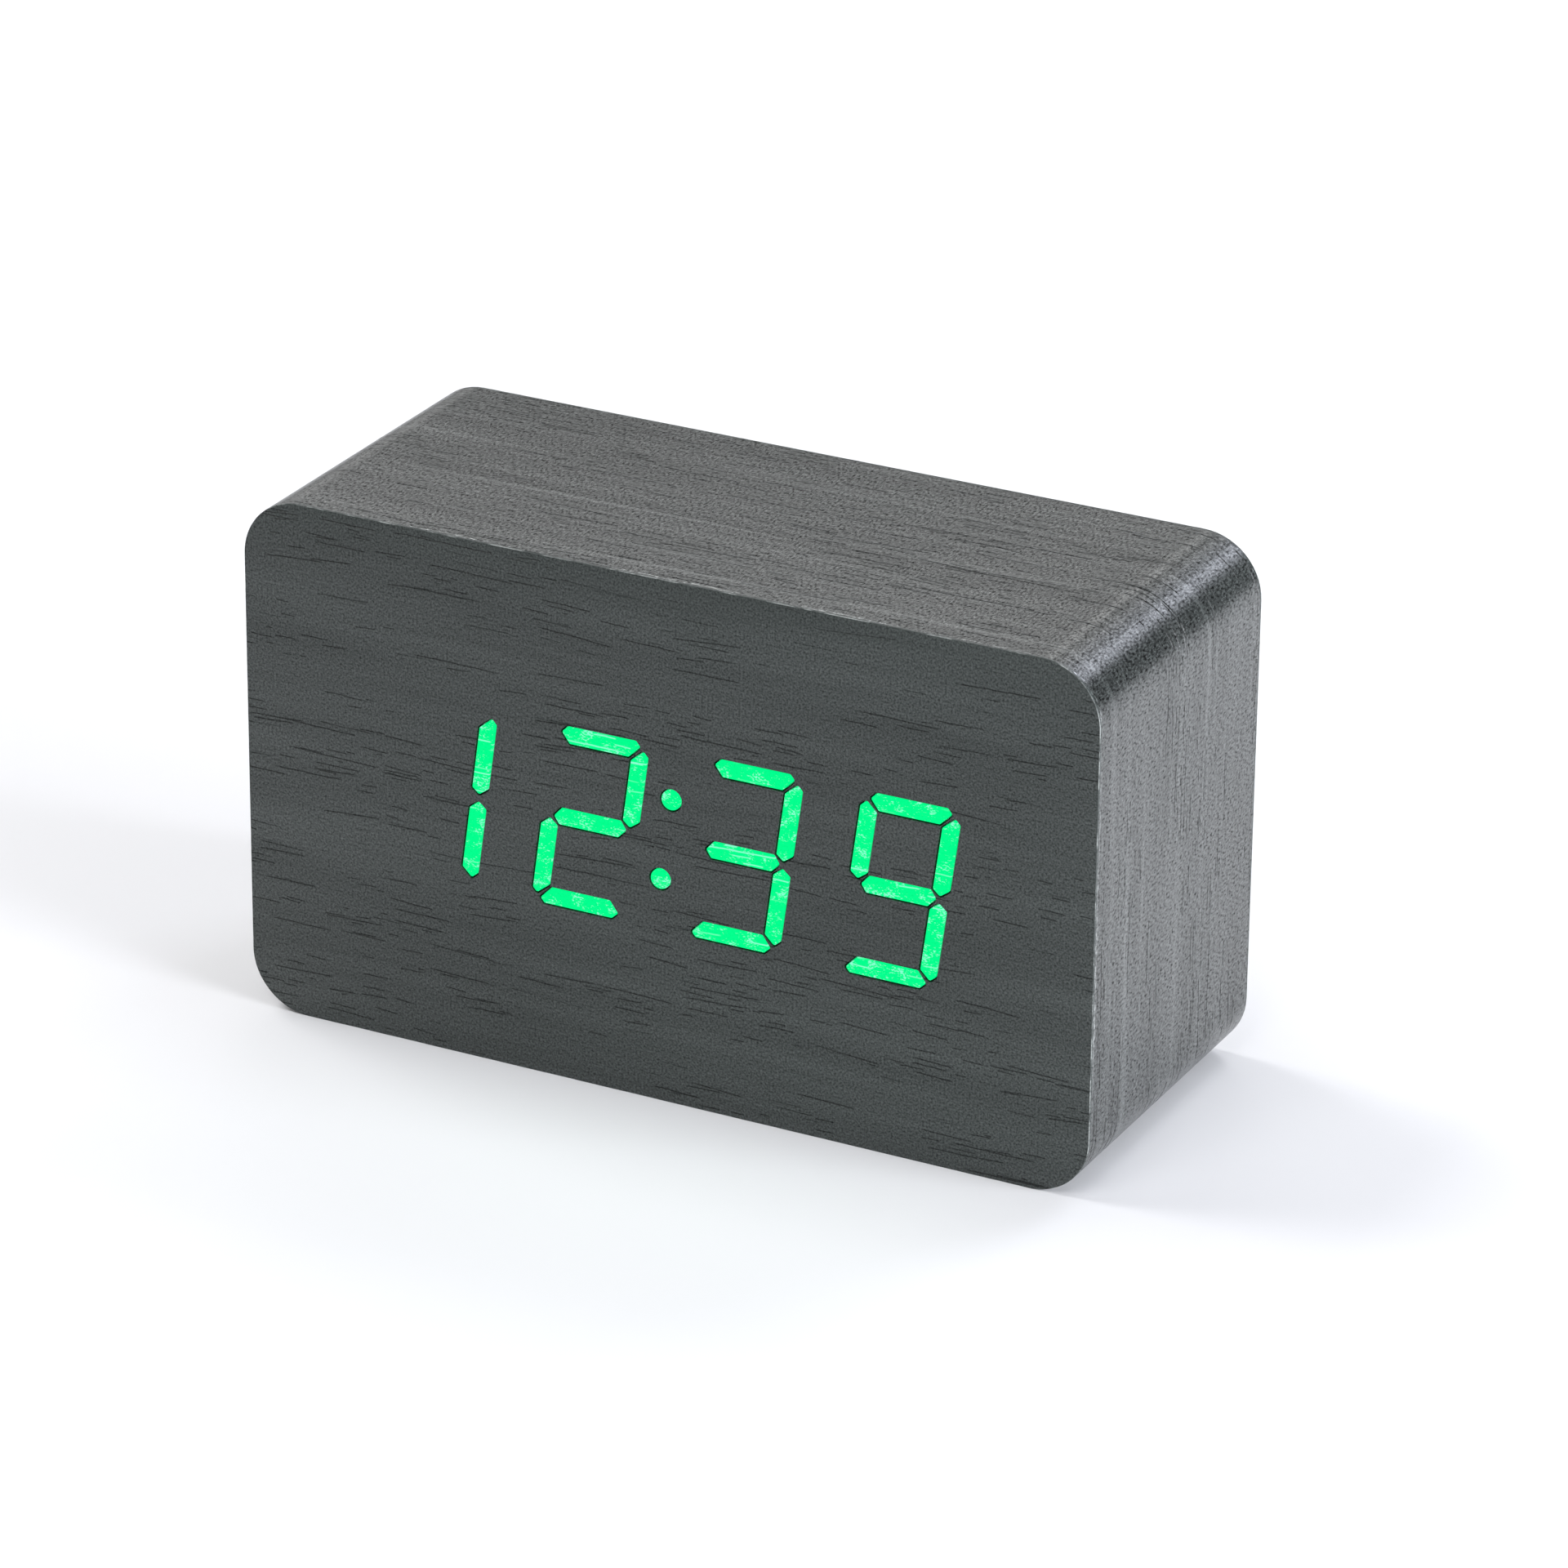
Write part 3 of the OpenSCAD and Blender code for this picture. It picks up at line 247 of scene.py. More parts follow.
@dataclass(frozen=True)
class WoodFoil:
    """Decor foil: charcoal-printed vinyl, embossed with pores and pressed with a fine tooth.

    The print gives broad tonal bands, the embossing gives dark strokes with a light lip, and
    the tooth gives a fine speckle and a satin reflection.
    """

    name: str
    grain: Grain
    colour: str = "#363c3a"
    roughness: float = 0.35
    gloss: float = 0.5  # strength of the satin reflection; 0.5 is plain vinyl
    bands: float = 0.20  # how strongly the printed bands vary the tone
    streaks: float = 0.0  # strength of the long pale streaks
    crowding: float = 0.5  # how much of the foil is crowded with pores
    seed: float = 0.0
    speckle: float = 2.4  # how strongly the tooth varies the tone
    wave: float = 1.4  # mm that slow waves move the grain
    pore_depth: float = 0.52  # how much a pore darkens the foil
    emboss: float = 0.07  # depth of a pore in mm
    tooth: tuple[float, float] = (0.24, 0.24)  # mm between bumps, along and across the grain
    rise: float = 0.3  # height of the tooth against the depth of a pore
    layers: tuple[Pores, ...] = (
        Pores(16.0, 1.5, 14.0, 0.075, 0.85, 1.3),
        Pores(9.0, 1.2, 7.5, 0.07, 0.75, 4.1),
        Pores(4.5, 1.3, 3.5, 0.065, 0.5, 8.6),
    )

    def noise(self, tree: Tree, at: object, along: float, across: float, detail: float) -> Node:
        """Draws a noise that is stretched along the grain.

        Args:
            tree: the node tree.
            at: grain coordinates in mm.
            along: length of a feature in mm, which also shifts the noise.
            across: height of a feature in mm, which also shifts the noise.
            detail: how many finer layers are on top.

        Returns:
            The noise, from 0 to 1.
        """
        shape = add(tree, "Mapping", {0: at, 1: (along, across, 0), 3: (1 / along, 1 / across, 1)})
        inputs = {"Vector": shape, "Scale": 1.0, "Detail": detail, "Roughness": 0.65}
        return add(tree, "TexNoise", inputs)

    def pattern(self, tree: Tree) -> dict[str, Node]:
        """Builds the foil's print and embossing.

        Args:
            tree: the node tree.

        Returns:
            Nodes named pores, tone, streak, tooth and height.
        """
        flat = add(tree, "Mapping", {0: grain_mm(tree, self.grain), 1: (self.seed, self.seed, 0)})
        # slow waves 30 mm long and a slight 2 mm wobble bend every line
        wave = self.noise(tree, flat, 30, 16, 1.0)
        wobble = self.noise(tree, flat, 2.2, 3.3, 1.0)
        rise = add(tree, "Math.MULTIPLY_ADD", {0: wobble, 1: 0.16, 2: -0.08 - self.wave / 2})
        rise = add(tree, "Math.MULTIPLY_ADD", {0: wave, 1: self.wave, 2: rise})
        lift = add(tree, "CombineXYZ", {1: rise})
        at = add(tree, "VectorMath.ADD", {0: flat, 1: lift})
        crowd = self.noise(tree, at, 36, 9, 1.5)
        crowd = add(
            tree, "MapRange.SMOOTHSTEP",
            {0: crowd, 1: 0.62 - 0.3 * self.crowding, 2: 0.78 - 0.3 * self.crowding, 3: 0.15},
        )
        pores = None
        for layer in self.layers:
            mask = layer.mask(tree, at, crowd, self.seed)
            pores = mask if pores is None else add(tree, "Math.MAXIMUM", {0: pores, 1: mask})
        # printed bands, about 5 mm and 0.8 mm wide and drawn out along the grain
        tone = add(tree, "Math.MULTIPLY", {0: self.noise(tree, at, 60, 4.5, 2.0), 1: 0.65})
        fine = self.noise(tree, at, 40, 0.8, 3.0)
        tone = add(tree, "Math.MULTIPLY_ADD", {0: fine, 1: 0.35, 2: tone})
        veil = self.noise(tree, at, 110, 2.0, 3.0)
        streak = add(tree, "MapRange.SMOOTHSTEP", {0: veil, 1: 0.52, 2: 0.74})
        # tooth of the pressed surface: rounded bumps with finer ones on them
        tooth = self.noise(tree, at, *self.tooth, 1.2)
        height = add(tree, "Math.MULTIPLY", {0: tooth, 1: self.rise})
        height = add(tree, "Math.MULTIPLY_ADD", {0: fine, 1: 0.1, 2: height})
        height = add(tree, "Math.SUBTRACT", {0: height, 1: pores})
        return {"pores": pores, "tone": tone, "streak": streak, "tooth": tooth, "height": height}

    def wear(self, tree: Tree) -> Node:
        """Draws the pale torn flecks along the front cut of the wrap.

        Args:
            tree: the node tree.

        Returns:
            1 on a fleck and 0 elsewhere.
        """
        at = grain_mm(tree, self.grain)
        depth = add(tree, "SeparateXYZ", {0: at}).outputs[1]
        # flecks fade out over the first half millimetre behind the cut
        cut, sound = WRAP_SHIFT - 19.42, WRAP_SHIFT - 18.95
        near = add(tree, "MapRange", {0: depth, 1: cut, 2: sound, 3: 1.0, 4: 0.0})
        patch = add(
            tree, "Math.MULTIPLY_ADD", {0: self.noise(tree, at, 20, 400, 1.0), 1: 0.8, 2: -0.4},
        )
        fleck = add(tree, "Math.ADD", {0: self.noise(tree, at, 0.9, 0.25, 3.0), 1: patch})
        fleck = add(tree, "MapRange", {0: fleck, 1: 0.54, 2: 0.66})
        return add(tree, "Math.MULTIPLY", {0: near, 1: fleck})

    def make(self) -> bpy.types.Material:
        """Makes the foil's material; the tooth and the pores dim its reflection as well."""
        material, tree, shader = new_material(self.name)
        print_ = self.pattern(tree)
        # both are 1 where the noise is at its middle, so they vary the tone and keep its mean
        low = 1 - 2 * self.bands
        level = add(tree, "Math.MULTIPLY_ADD", {0: print_["tone"], 1: 4 * self.bands, 2: low})
        low = 1 - self.speckle / 2
        speck = add(tree, "Math.MULTIPLY_ADD", {0: print_["tooth"], 1: self.speckle, 2: low})
        level = add(tree, "Math.MULTIPLY", {0: level, 1: speck})
        level = add(tree, "Math.MULTIPLY_ADD", {0: print_["streak"], 1: self.streaks, 2: level})
        open_ = add(tree, "Math.MULTIPLY_ADD", {0: print_["pores"], 1: -self.pore_depth, 2: 1.0})
        if self.grain is Grain.WRAP:
            worn = self.wear(tree)
            # a torn fleck bares vinyl about seven times as pale as the print
            level = add(tree, "Math.MULTIPLY_ADD", {0: worn, 1: 7.0, 2: level})
            open_ = add(tree, "Math.MAXIMUM", {0: open_, 1: worn})
        level = add(tree, "Math.MULTIPLY", {0: level, 1: open_})
        level = add(tree, "Math.MAXIMUM", {0: level, 1: 0.1})
        colour = dimmed(tree, linear(self.colour), level)
        gloss = add(tree, "Math.MULTIPLY", {0: level, 1: self.gloss})
        rough = add(tree, "Math.MULTIPLY_ADD", {0: print_["pores"], 1: 0.3, 2: self.roughness})
        feed(shader, {"Base Color": colour, "Specular IOR Level": gloss, "Roughness": rough})
        relief(tree, shader, print_["height"], self.emboss * MM)
        return material


@dataclass(frozen=True)
class LitFoil(WoodFoil):
    """The same foil where green light comes through it, paler along the thin pores."""

    glow: str = "#00ff8e"
    pale: str = "#8dffd6"
    strength: float = 1.0

    def make(self) -> bpy.types.Material:
        """Makes the glowing foil's material."""
        material, tree, shader = new_material(self.name)
        print_ = self.pattern(tree)
        at = grain_mm(tree, self.grain)
        # thin spots of the foil: flecks 0.3 mm high, drawn out along the grain, in patches
        patch = add(
            tree, "Math.MULTIPLY_ADD", {0: self.noise(tree, at, 2.0, 1.4, 1.0), 1: 0.7, 2: -0.35},
        )
        fleck = add(tree, "Math.ADD", {0: self.noise(tree, at, 0.34, 0.17, 2.0), 1: patch})
        fleck = add(tree, "MapRange", {0: fleck, 1: 0.60, 2: 0.68})
        thin = add(tree, "Math.MAXIMUM", {0: fleck, 1: print_["pores"]})
        colour = add(
            tree, "Mix", {0: thin, 6: linear(self.glow), 7: linear(self.pale)}, data_type="RGBA"
        ).outputs[2]
        shade = add(tree, "Math.MULTIPLY_ADD", {0: print_["tooth"], 1: 0.3, 2: 0.85})
        feed(shader, {
            "Emission Color": dimmed(tree, colour, shade), "Emission Strength": self.strength,
            "Base Color": linear("#000201"), "Roughness": 0.6, "Specular IOR Level": 0.02,
        })
        relief(tree, shader, print_["height"], 0.04 * MM)
        return material


@dataclass(frozen=True)
class CutFoil:
    """Cut edge of the foil: pale raw vinyl with torn fibres and a trace of dark print."""

    name: str = "cut_foil_edge"
    colour: str = "#a3a8a6"
    dark: str = "#464b4a"

    def make(self) -> bpy.types.Material:
        """Makes the edge's material."""
        material, tree, shader = new_material(self.name)
        at = object_mm(tree)
        # patches a few millimetres long where the print is torn off
        patch = {"Vector": at, "Scale": 0.28, "Detail": 4.0, "Roughness": 0.7}
        torn = add(
            tree, "MapRange.SMOOTHSTEP", {0: add(tree, "TexNoise", patch), 1: 0.46, 2: 0.60},
        )
        strand = {"Vector": at, "Scale": 5.0, "Detail": 2.0, "Roughness": 0.6}
        fibre = add(tree, "TexNoise", strand)
        frayed = add(tree, "MapRange.SMOOTHSTEP", {0: fibre, 1: 0.3, 2: 0.6, 3: 0.5, 4: 1.0})
        share = add(tree, "Math.MULTIPLY", {0: torn, 1: frayed})
        colour = add(
            tree, "Mix", {0: share, 6: linear(self.dark), 7: linear(self.colour)}, data_type="RGBA"
        ).outputs[2]
        feed(shader, {"Base Color": colour, "Roughness": 0.65})
        relief(tree, shader, fibre, 0.03 * MM)
        return material


@dataclass(frozen=True)
class Moulded:
    """Injection-moulded plastic from a spark-eroded or polished mould."""

    name: str
    colour: str
    roughness: float = 0.5
    texture: float = 0.25  # mm between the bumps of the mould's texture
    depth: float = 0.02  # mm
    through: float = 0.0  # share of light that passes through

    def make(self) -> bpy.types.Material:
        """Makes the plastic's material."""
        material, tree, shader = new_material(self.name)
        at = object_mm(tree)
        spark = {"Vector": at, "Scale": 1 / self.texture, "Detail": 3.0, "Roughness": 0.6}
        pits = add(tree, "TexNoise", spark)
        flow = {"Vector": at, "Scale": 0.12, "Detail": 2.0, "Roughness": 0.5}
        cloud = add(tree, "TexNoise", flow)
        level = add(tree, "Math.MULTIPLY_ADD", {0: cloud, 1: 0.16, 2: 0.92})
        dimple = add(tree, "Math.MULTIPLY_ADD", {0: pits, 1: 0.3, 2: 0.85})
        level = add(tree, "Math.MULTIPLY", {0: level, 1: dimple})
        rough = add(tree, "Math.MULTIPLY_ADD", {0: pits, 1: 0.16, 2: self.roughness - 0.08})
        rough = add(tree, "Math.MULTIPLY_ADD", {0: cloud, 1: 0.08, 2: rough})
        feed(shader, {
            "Base Color": dimmed(tree, linear(self.colour), level), "Roughness": rough,
            "IOR": PLASTIC_IOR, "Transmission Weight": self.through,
        })
        relief(tree, shader, pits, self.depth * MM)
        return material


@dataclass(frozen=True)
class Plated:
    """Plated sheet or turned metal: fine drawing lines under a thin bright or black plating."""

    name: str
    colour: str
    roughness: float = 0.3
    lines: tuple = (1.0, 1.0, 14.0)  # lines per mm along X, Y and Z

    def make(self) -> bpy.types.Material:
        """Makes the metal's material."""
        material, tree, shader = new_material(self.name)
        at = object_mm(tree)
        along = add(tree, "Mapping", {0: at, 3: self.lines})
        fine = {"Vector": along, "Scale": 1.0, "Detail": 2.0, "Roughness": 0.6}
        drawn = add(tree, "TexNoise", fine)
        broad = {"Vector": at, "Scale": 0.6, "Detail": 3.0, "Roughness": 0.6}
        blotch = add(tree, "TexNoise", broad)
        level = add(tree, "Math.MULTIPLY_ADD", {0: blotch, 1: 0.24, 2: 0.88})
        rough = add(tree, "Math.MULTIPLY_ADD", {0: drawn, 1: 0.2, 2: self.roughness - 0.1})
        rough = add(tree, "Math.MULTIPLY_ADD", {0: blotch, 1: 0.14, 2: rough})
        colour = dimmed(tree, linear(self.colour), level)
        feed(shader, {"Base Color": colour, "Roughness": rough, "Metallic": 1.0})
        relief(tree, shader, drawn, 0.006 * MM)
        return material


@dataclass(frozen=True)
class Fibreboard:
    """Medium-density fibreboard, sawn and milled: tan felt of fibres with darker flecks."""

    name: str = "milled_fibreboard"
    colour: str = "#b08f68"
    bark: str = "#5d4630"

    def make(self) -> bpy.types.Material:
        """Makes the board's material."""
        material, tree, shader = new_material(self.name)
        at = object_mm(tree)
        pressed = add(tree, "Mapping", {0: at, 3: (2.2, 2.2, 5.0)})
        fibres = {"Vector": pressed, "Scale": 1.0, "Detail": 4.0, "Roughness": 0.7}
        felt = add(tree, "TexNoise", fibres)
        bark = add(tree, "TexNoise", {"Vector": at, "Scale": 3.4, "Detail": 2.0})
        fleck = add(tree, "MapRange.SMOOTHSTEP", {0: bark, 1: 0.62, 2: 0.72})
        fleck = add(tree, "Math.MULTIPLY", {0: fleck, 1: 0.5})
        level = add(tree, "Math.MULTIPLY_ADD", {0: felt, 1: 0.6, 2: 0.7})
        colour = dimmed(tree, linear(self.colour), level)
        colour = add(
            tree, "Mix", {0: fleck, 6: colour, 7: linear(self.bark)}, data_type="RGBA"
        ).outputs[2]
        feed(shader, {"Base Color": colour, "Roughness": 0.85})
        relief(tree, shader, felt, 0.08 * MM)
        return material


@dataclass(frozen=True)
class SolderMask:
    """Glass-epoxy board under green solder mask, with copper tracks that show as paler lines."""

    name: str = "green_solder_mask"
    colour: str = "#14573a"
    copper: str = "#2c7a52"

    def make(self) -> bpy.types.Material:
        """Makes the board's material."""
        material, tree, shader = new_material(self.name)
        at = object_mm(tree)
        tracks = add(
            tree, "TexVoronoi", {"Vector": at, "Scale": 0.32},
            feature="DISTANCE_TO_EDGE", distance="MANHATTAN",
        ).outputs["Distance"]
        line = add(tree, "MapRange.SMOOTHSTEP", {0: tracks, 1: 0.03, 2: 0.06, 3: 1.0, 4: 0.0})
        weave = add(tree, "TexNoise", {"Vector": at, "Scale": 3.0, "Detail": 2.0})
        share = add(tree, "Math.MULTIPLY", {0: line, 1: 0.7})
        shades = {0: share, 6: linear(self.colour), 7: linear(self.copper)}
        colour = add(tree, "Mix", shades, data_type="RGBA").outputs[2]
        level = add(tree, "Math.MULTIPLY_ADD", {0: weave, 1: 0.2, 2: 0.9})
        feed(shader, {"Base Color": dimmed(tree, colour, level), "Roughness": 0.28})
        relief(tree, shader, line, 0.03 * MM)
        return material


@dataclass(frozen=True)
class ShrinkSleeve:
    """Printed shrink film over a cell's steel can: two plain colour bands and fine wrinkles."""

    name: str = "printed_cell_sleeve"
    colour: str = "#1f6f47"
    band: str = "#c9a24a"
    can: str = "#b9bbbb"
    turn: float = 1.0  # 1 puts the pale band towards +X, -1 towards -X

    def make(self) -> bpy.types.Material:
        """Makes the sleeve's material."""
        material, tree, shader = new_material(self.name)
        at = object_mm(tree)
        side = add(tree, "SeparateXYZ", {0: at}).outputs[0]
        side = add(tree, "Math.MULTIPLY", {0: side, 1: self.turn})
        banded = add(tree, "MapRange.SMOOTHSTEP", {0: side, 1: 10.8, 2: 11.1})
        steel = add(tree, "MapRange.SMOOTHSTEP", {0: side, 1: 22.6, 2: 22.8})
        drawn = add(tree, "Mapping", {0: at, 3: (0.5, 2.0, 2.0)})
        wrinkle = add(tree, "TexNoise", {"Vector": drawn, "Scale": 1.0, "Detail": 2.0})
        shades = {0: banded, 6: linear(self.colour), 7: linear(self.band)}
        colour = add(tree, "Mix", shades, data_type="RGBA")
        shades = {0: steel, 6: colour.outputs[2], 7: linear(self.can)}
        colour = add(tree, "Mix", shades, data_type="RGBA")
        feed(shader, {"Base Color": colour.outputs[2], "Metallic": steel, "Roughness": 0.3})
        relief(tree, shader, wrinkle, 0.02 * MM)
        return material


@dataclass(frozen=True)
class Foam:
    """Closed-cell foam strip: matte, with small open cells at its cut faces."""

    name: str = "closed_cell_foam"
    colour: str = "#2d2e30"

    def make(self) -> bpy.types.Material:
        """Makes the foam's material."""
        material, tree, shader = new_material(self.name)
        at = object_mm(tree)
        cells = add(tree, "TexVoronoi", {"Vector": at, "Scale": 3.3}).outputs["Distance"]
        level = add(tree, "Math.MULTIPLY_ADD", {0: cells, 1: 0.7, 2: 0.6})
        colour = dimmed(tree, linear(self.colour), level)
        feed(shader, {"Base Color": colour, "Roughness": 0.95, "Sheen Weight": 0.2})
        relief(tree, shader, cells, 0.12 * MM)
        return material


# ---------------------------------------------------------------- surfaces


def mesh_piece(
    name: str,
    points: np.ndarray,
    quads: np.ndarray,
    tris: np.ndarray | None = None,
    slots: np.ndarray | None = None,
    smooth: np.ndarray | None = None,
) -> bpy.types.Object:
    """Puts arrays into a new mesh object at the origin.

    Args:
        name: the piece's name.
        points: N x 3 places in metres.
        quads: Q x 4 corner numbers.
        tris: T x 3 corner numbers, which follow the quads.
        slots: material slot number of each face.
        smooth: whether each face is smooth; all are if it is left out.

    Returns:
        The object, linked to the scene.
    """
    tris = np.zeros((0, 3), np.int64) if tris is None else tris
    mesh = bpy.data.meshes.new(name)
    mesh.vertices.add(len(points))
    mesh.vertices.foreach_set("co", points.astype(np.float32).ravel())
    corners = np.concatenate([quads.ravel(), tris.ravel()]).astype(np.int32)
    sizes = np.concatenate([np.full(len(quads), 4), np.full(len(tris), 3)])
    mesh.loops.add(len(corners))
    mesh.loops.foreach_set("vertex_index", corners)
    mesh.polygons.add(len(sizes))
    starts = np.concatenate([[0], np.cumsum(sizes)[:-1]]).astype(np.int32)
    mesh.polygons.foreach_set("loop_start", starts)
    flags = np.ones(len(sizes), bool) if smooth is None else smooth
    mesh.polygons.foreach_set("use_smooth", flags)
    if slots is not None:
        mesh.polygons.foreach_set("material_index", slots.astype(np.int32))
    mesh.update(calc_edges=True)
    mesh.validate()
    mesh.set_sharp_from_angle(angle=SHARP_ANGLE)
    piece = bpy.data.objects.new(name, mesh)
    bpy.context.scene.collection.objects.link(piece)
    return piece


def settle(
    piece: bpy.types.Object, materials: list[bpy.types.Material], node: str
) -> None:
    """Dresses a piece and fixes it to the case.

    Args:
        piece: the piece.
        materials: its materials, in the order of its slots.
        node: the CAD node that it stands for.
    """
    for material in materials:
        piece.data.materials.append(material)
    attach(piece, CASE)
    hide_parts(node)
    log.info("%s: %d faces", piece.name, len(piece.data.polygons))


def loop_walls(first: np.ndarray, second: np.ndarray) -> np.ndarray:
    """Quads between two closed loops of corner numbers with the same count.

    Quad k joins first[k], first[k + 1], second[k + 1] and second[k], and the last wraps round.
    """
    return np.stack([first, np.roll(first, -1), np.roll(second, -1), second], axis=1)


def round_rectangle(width: float, height: float, radius: float, steps: int) -> np.ndarray:
    """Points anticlockwise round a rectangle with round corners, centred on the origin.

    Each corner is radius * (cos a, sin a) round its own middle as a runs through a quarter
    turn, and an extra point lies just past each end of a corner to keep the flats flat.
    """
    a = np.linspace(0, np.pi / 2, steps)
    arc = np.stack([np.cos(a), np.sin(a)], 1) * radius
    arc = np.concatenate([[[radius, -LEAD]], arc, [[-LEAD, radius]]])
    turns = [np.array([[c, s], [-s, c]]) for c, s in ((1, 0), (0, 1), (-1, 0), (0, -1))]
    signs = np.array([[1, 1], [-1, 1], [-1, -1], [1, -1]])
    middles = signs * np.array([width / 2 - radius, height / 2 - radius])
    return np.concatenate([arc @ turn + middle for turn, middle in zip(turns, middles)])


def rounded(points: np.ndarray, radius: float, steps: int = 6) -> np.ndarray:
    """Rounds the corners of a closed outline.

    Each corner is cut back by radius * tan(turn / 2) and filled with an arc of the radius.

    Args:
        points: K x 2 corners, in order.
        radius: radius of each corner.
        steps: points on each arc.

    Returns:
        K * steps by 2 points, in the same order.
    """
    into = points - np.roll(points, 1, 0)
    into /= np.linalg.norm(into, axis=1)[:, None]
    out = np.roll(into, -1, 0)
    cross = into[:, 0] * out[:, 1] - into[:, 1] * out[:, 0]
    turn = np.arctan2(cross, (into * out).sum(1))
    back = radius * np.tan(np.abs(turn) / 2)
    side = np.sign(turn)[:, None] * np.stack([-into[:, 1], into[:, 0]], 1)
    middle = points - into * back[:, None] + side * radius
    angle = turn[:, None] * np.linspace(0, 1, steps)[None]
    c, s = np.cos(angle)[..., None], np.sin(angle)[..., None]
    start = -side[:, None] * radius
    swung = np.stack([-start[..., 1], start[..., 0]], -1)
    return (middle[:, None] + c * start + s * swung).reshape(-1, 2)


def grown(points: np.ndarray, by: float) -> np.ndarray:
    """Moves every edge of an anticlockwise outline outwards.

    A corner moves by (m + n) / (1 + m . n) times the distance, where m and n are the outward
    normals of its two edges.
    """
    into = points - np.roll(points, 1, 0)
    into /= np.linalg.norm(into, axis=1)[:, None]
    m = np.stack([into[:, 1], -into[:, 0]], 1)
    n = np.roll(m, -1, 0)
    return points + by * (m + n) / (1 + (m * n).sum(1))[:, None]


def anticlockwise(points: np.ndarray) -> np.ndarray:
    """The outline in anticlockwise order, by the sign of its area."""
    after = np.roll(points, -1, 0)
    area = (points[:, 0] * after[:, 1] - points[:, 1] * after[:, 0]).sum()
    return points if area > 0 else points[::-1]


# ---------------------------------------------------------------- sub-assemblies


@dataclass
class Display:
    """The lit figures, as outlines in the front plane round the display's own middle."""

    middle: tuple[float, float] = (0.6 * MM, 30.3 * MM)
    pitch: float = 18.05 * MM  # from digit to digit
    width: float = 9.45 * MM  # between the middles of a digit's upright bars
    height: float = 18.9 * MM  # between the middles of its top and bottom bars
    bar: float = 2.04 * MM
    lean: float = math.radians(7.7)
    tip: float = 4.72 * MM  # from a bar's middle to its tip at the digit's corner
    mid_tip: float = 4.36 * MM  # from a bar's middle to its tip at the digit's waist
    shift: float = 0.35 * MM  # how far a corner tip lies towards the outside
    inner_cut: float = 1.2 * MM
    outer_cut: float = 0.65 * MM
    mid_cut: float = 0.8 * MM
    dot: float = 2.42 * MM
    colon: float = 9.25 * MM  # between the dots
    gap: float = 0.1 * MM  # round each bar, to the edge of its window
    corner: float = 0.26 * MM
    shown: tuple[str, ...] = ("bc", "abged", "abgcd", "abcdfg")  # 12:39

    def bars(self) -> dict[str, np.ndarray]:
        """Outlines of the seven bars of one upright digit, named a to g as usual."""
        h, w = self.bar / 2, self.width / 2
        upright = np.array([
            [-h, self.tip - self.inner_cut], [self.shift, self.tip],
            [h, self.tip - self.outer_cut], [h, -self.mid_tip + self.mid_cut],
            [0, -self.mid_tip], [-h, -self.mid_tip + self.mid_cut],
        ])
        top = np.array([
            [-self.tip + self.inner_cut, -h], [self.tip - self.inner_cut, -h],
            [self.tip, self.shift], [self.tip - self.outer_cut, h],
            [-self.tip + self.outer_cut, h], [-self.tip, self.shift],
        ])
        middle = np.array([
            [-self.mid_tip, 0], [-self.mid_tip + self.mid_cut, -h],
            [self.mid_tip - self.mid_cut, -h], [self.mid_tip, 0],
            [self.mid_tip - self.mid_cut, h], [-self.mid_tip + self.mid_cut, h],
        ])
        quarter, half = self.height / 4, self.height / 2
        placed = {
            "a": (top, (0, half), (1, 1)), "b": (upright, (w, quarter), (1, 1)),
            "c": (upright, (w, -quarter), (1, -1)), "d": (top, (0, -half), (1, -1)),
            "e": (upright, (-w, -quarter), (-1, -1)), "f": (upright, (-w, quarter), (-1, 1)),
            "g": (middle, (0, 0), (1, 1)),
        }
        return {k: outline * sign + at for k, (outline, at, sign) in placed.items()}

    def leaned(self, points: np.ndarray) -> np.ndarray:
        """Leans points to the right: x grows by z times the tangent of the lean."""
        return points + np.stack([points[:, 1] * math.tan(self.lean), 0 * points[:, 1]], 1)

    def figure(self, place: int) -> list[np.ndarray]:
        """Corner outlines of the lit bars of one digit, anticlockwise, in the front plane."""
        bars = self.bars()
        at = np.array(self.middle) + [(place - 1.5) * self.pitch, 0]
        return [anticlockwise(self.leaned(bars[k])) + at for k in self.shown[place]]

    def dots(self, by: float) -> list[np.ndarray]:
        """Outlines of the two colon dots, grown by a distance."""
        a = np.linspace(0, 2 * np.pi, 40, endpoint=False)
        ring = np.stack([np.cos(a), np.sin(a)], 1) * (self.dot / 2 + by)
        middles = self.leaned(np.array([[0, -1], [0, 1]]) * self.colon / 2) + self.middle
        return [ring + m for m in middles]

    def windows(self) -> list[np.ndarray]:
        """Outlines of every opening in the front foil."""
        bars = [bar for place in range(4) for bar in self.figure(place)]
        cut = [rounded(grown(bar, self.gap), self.corner + self.gap) for bar in bars]
        return cut + self.dots(self.gap)


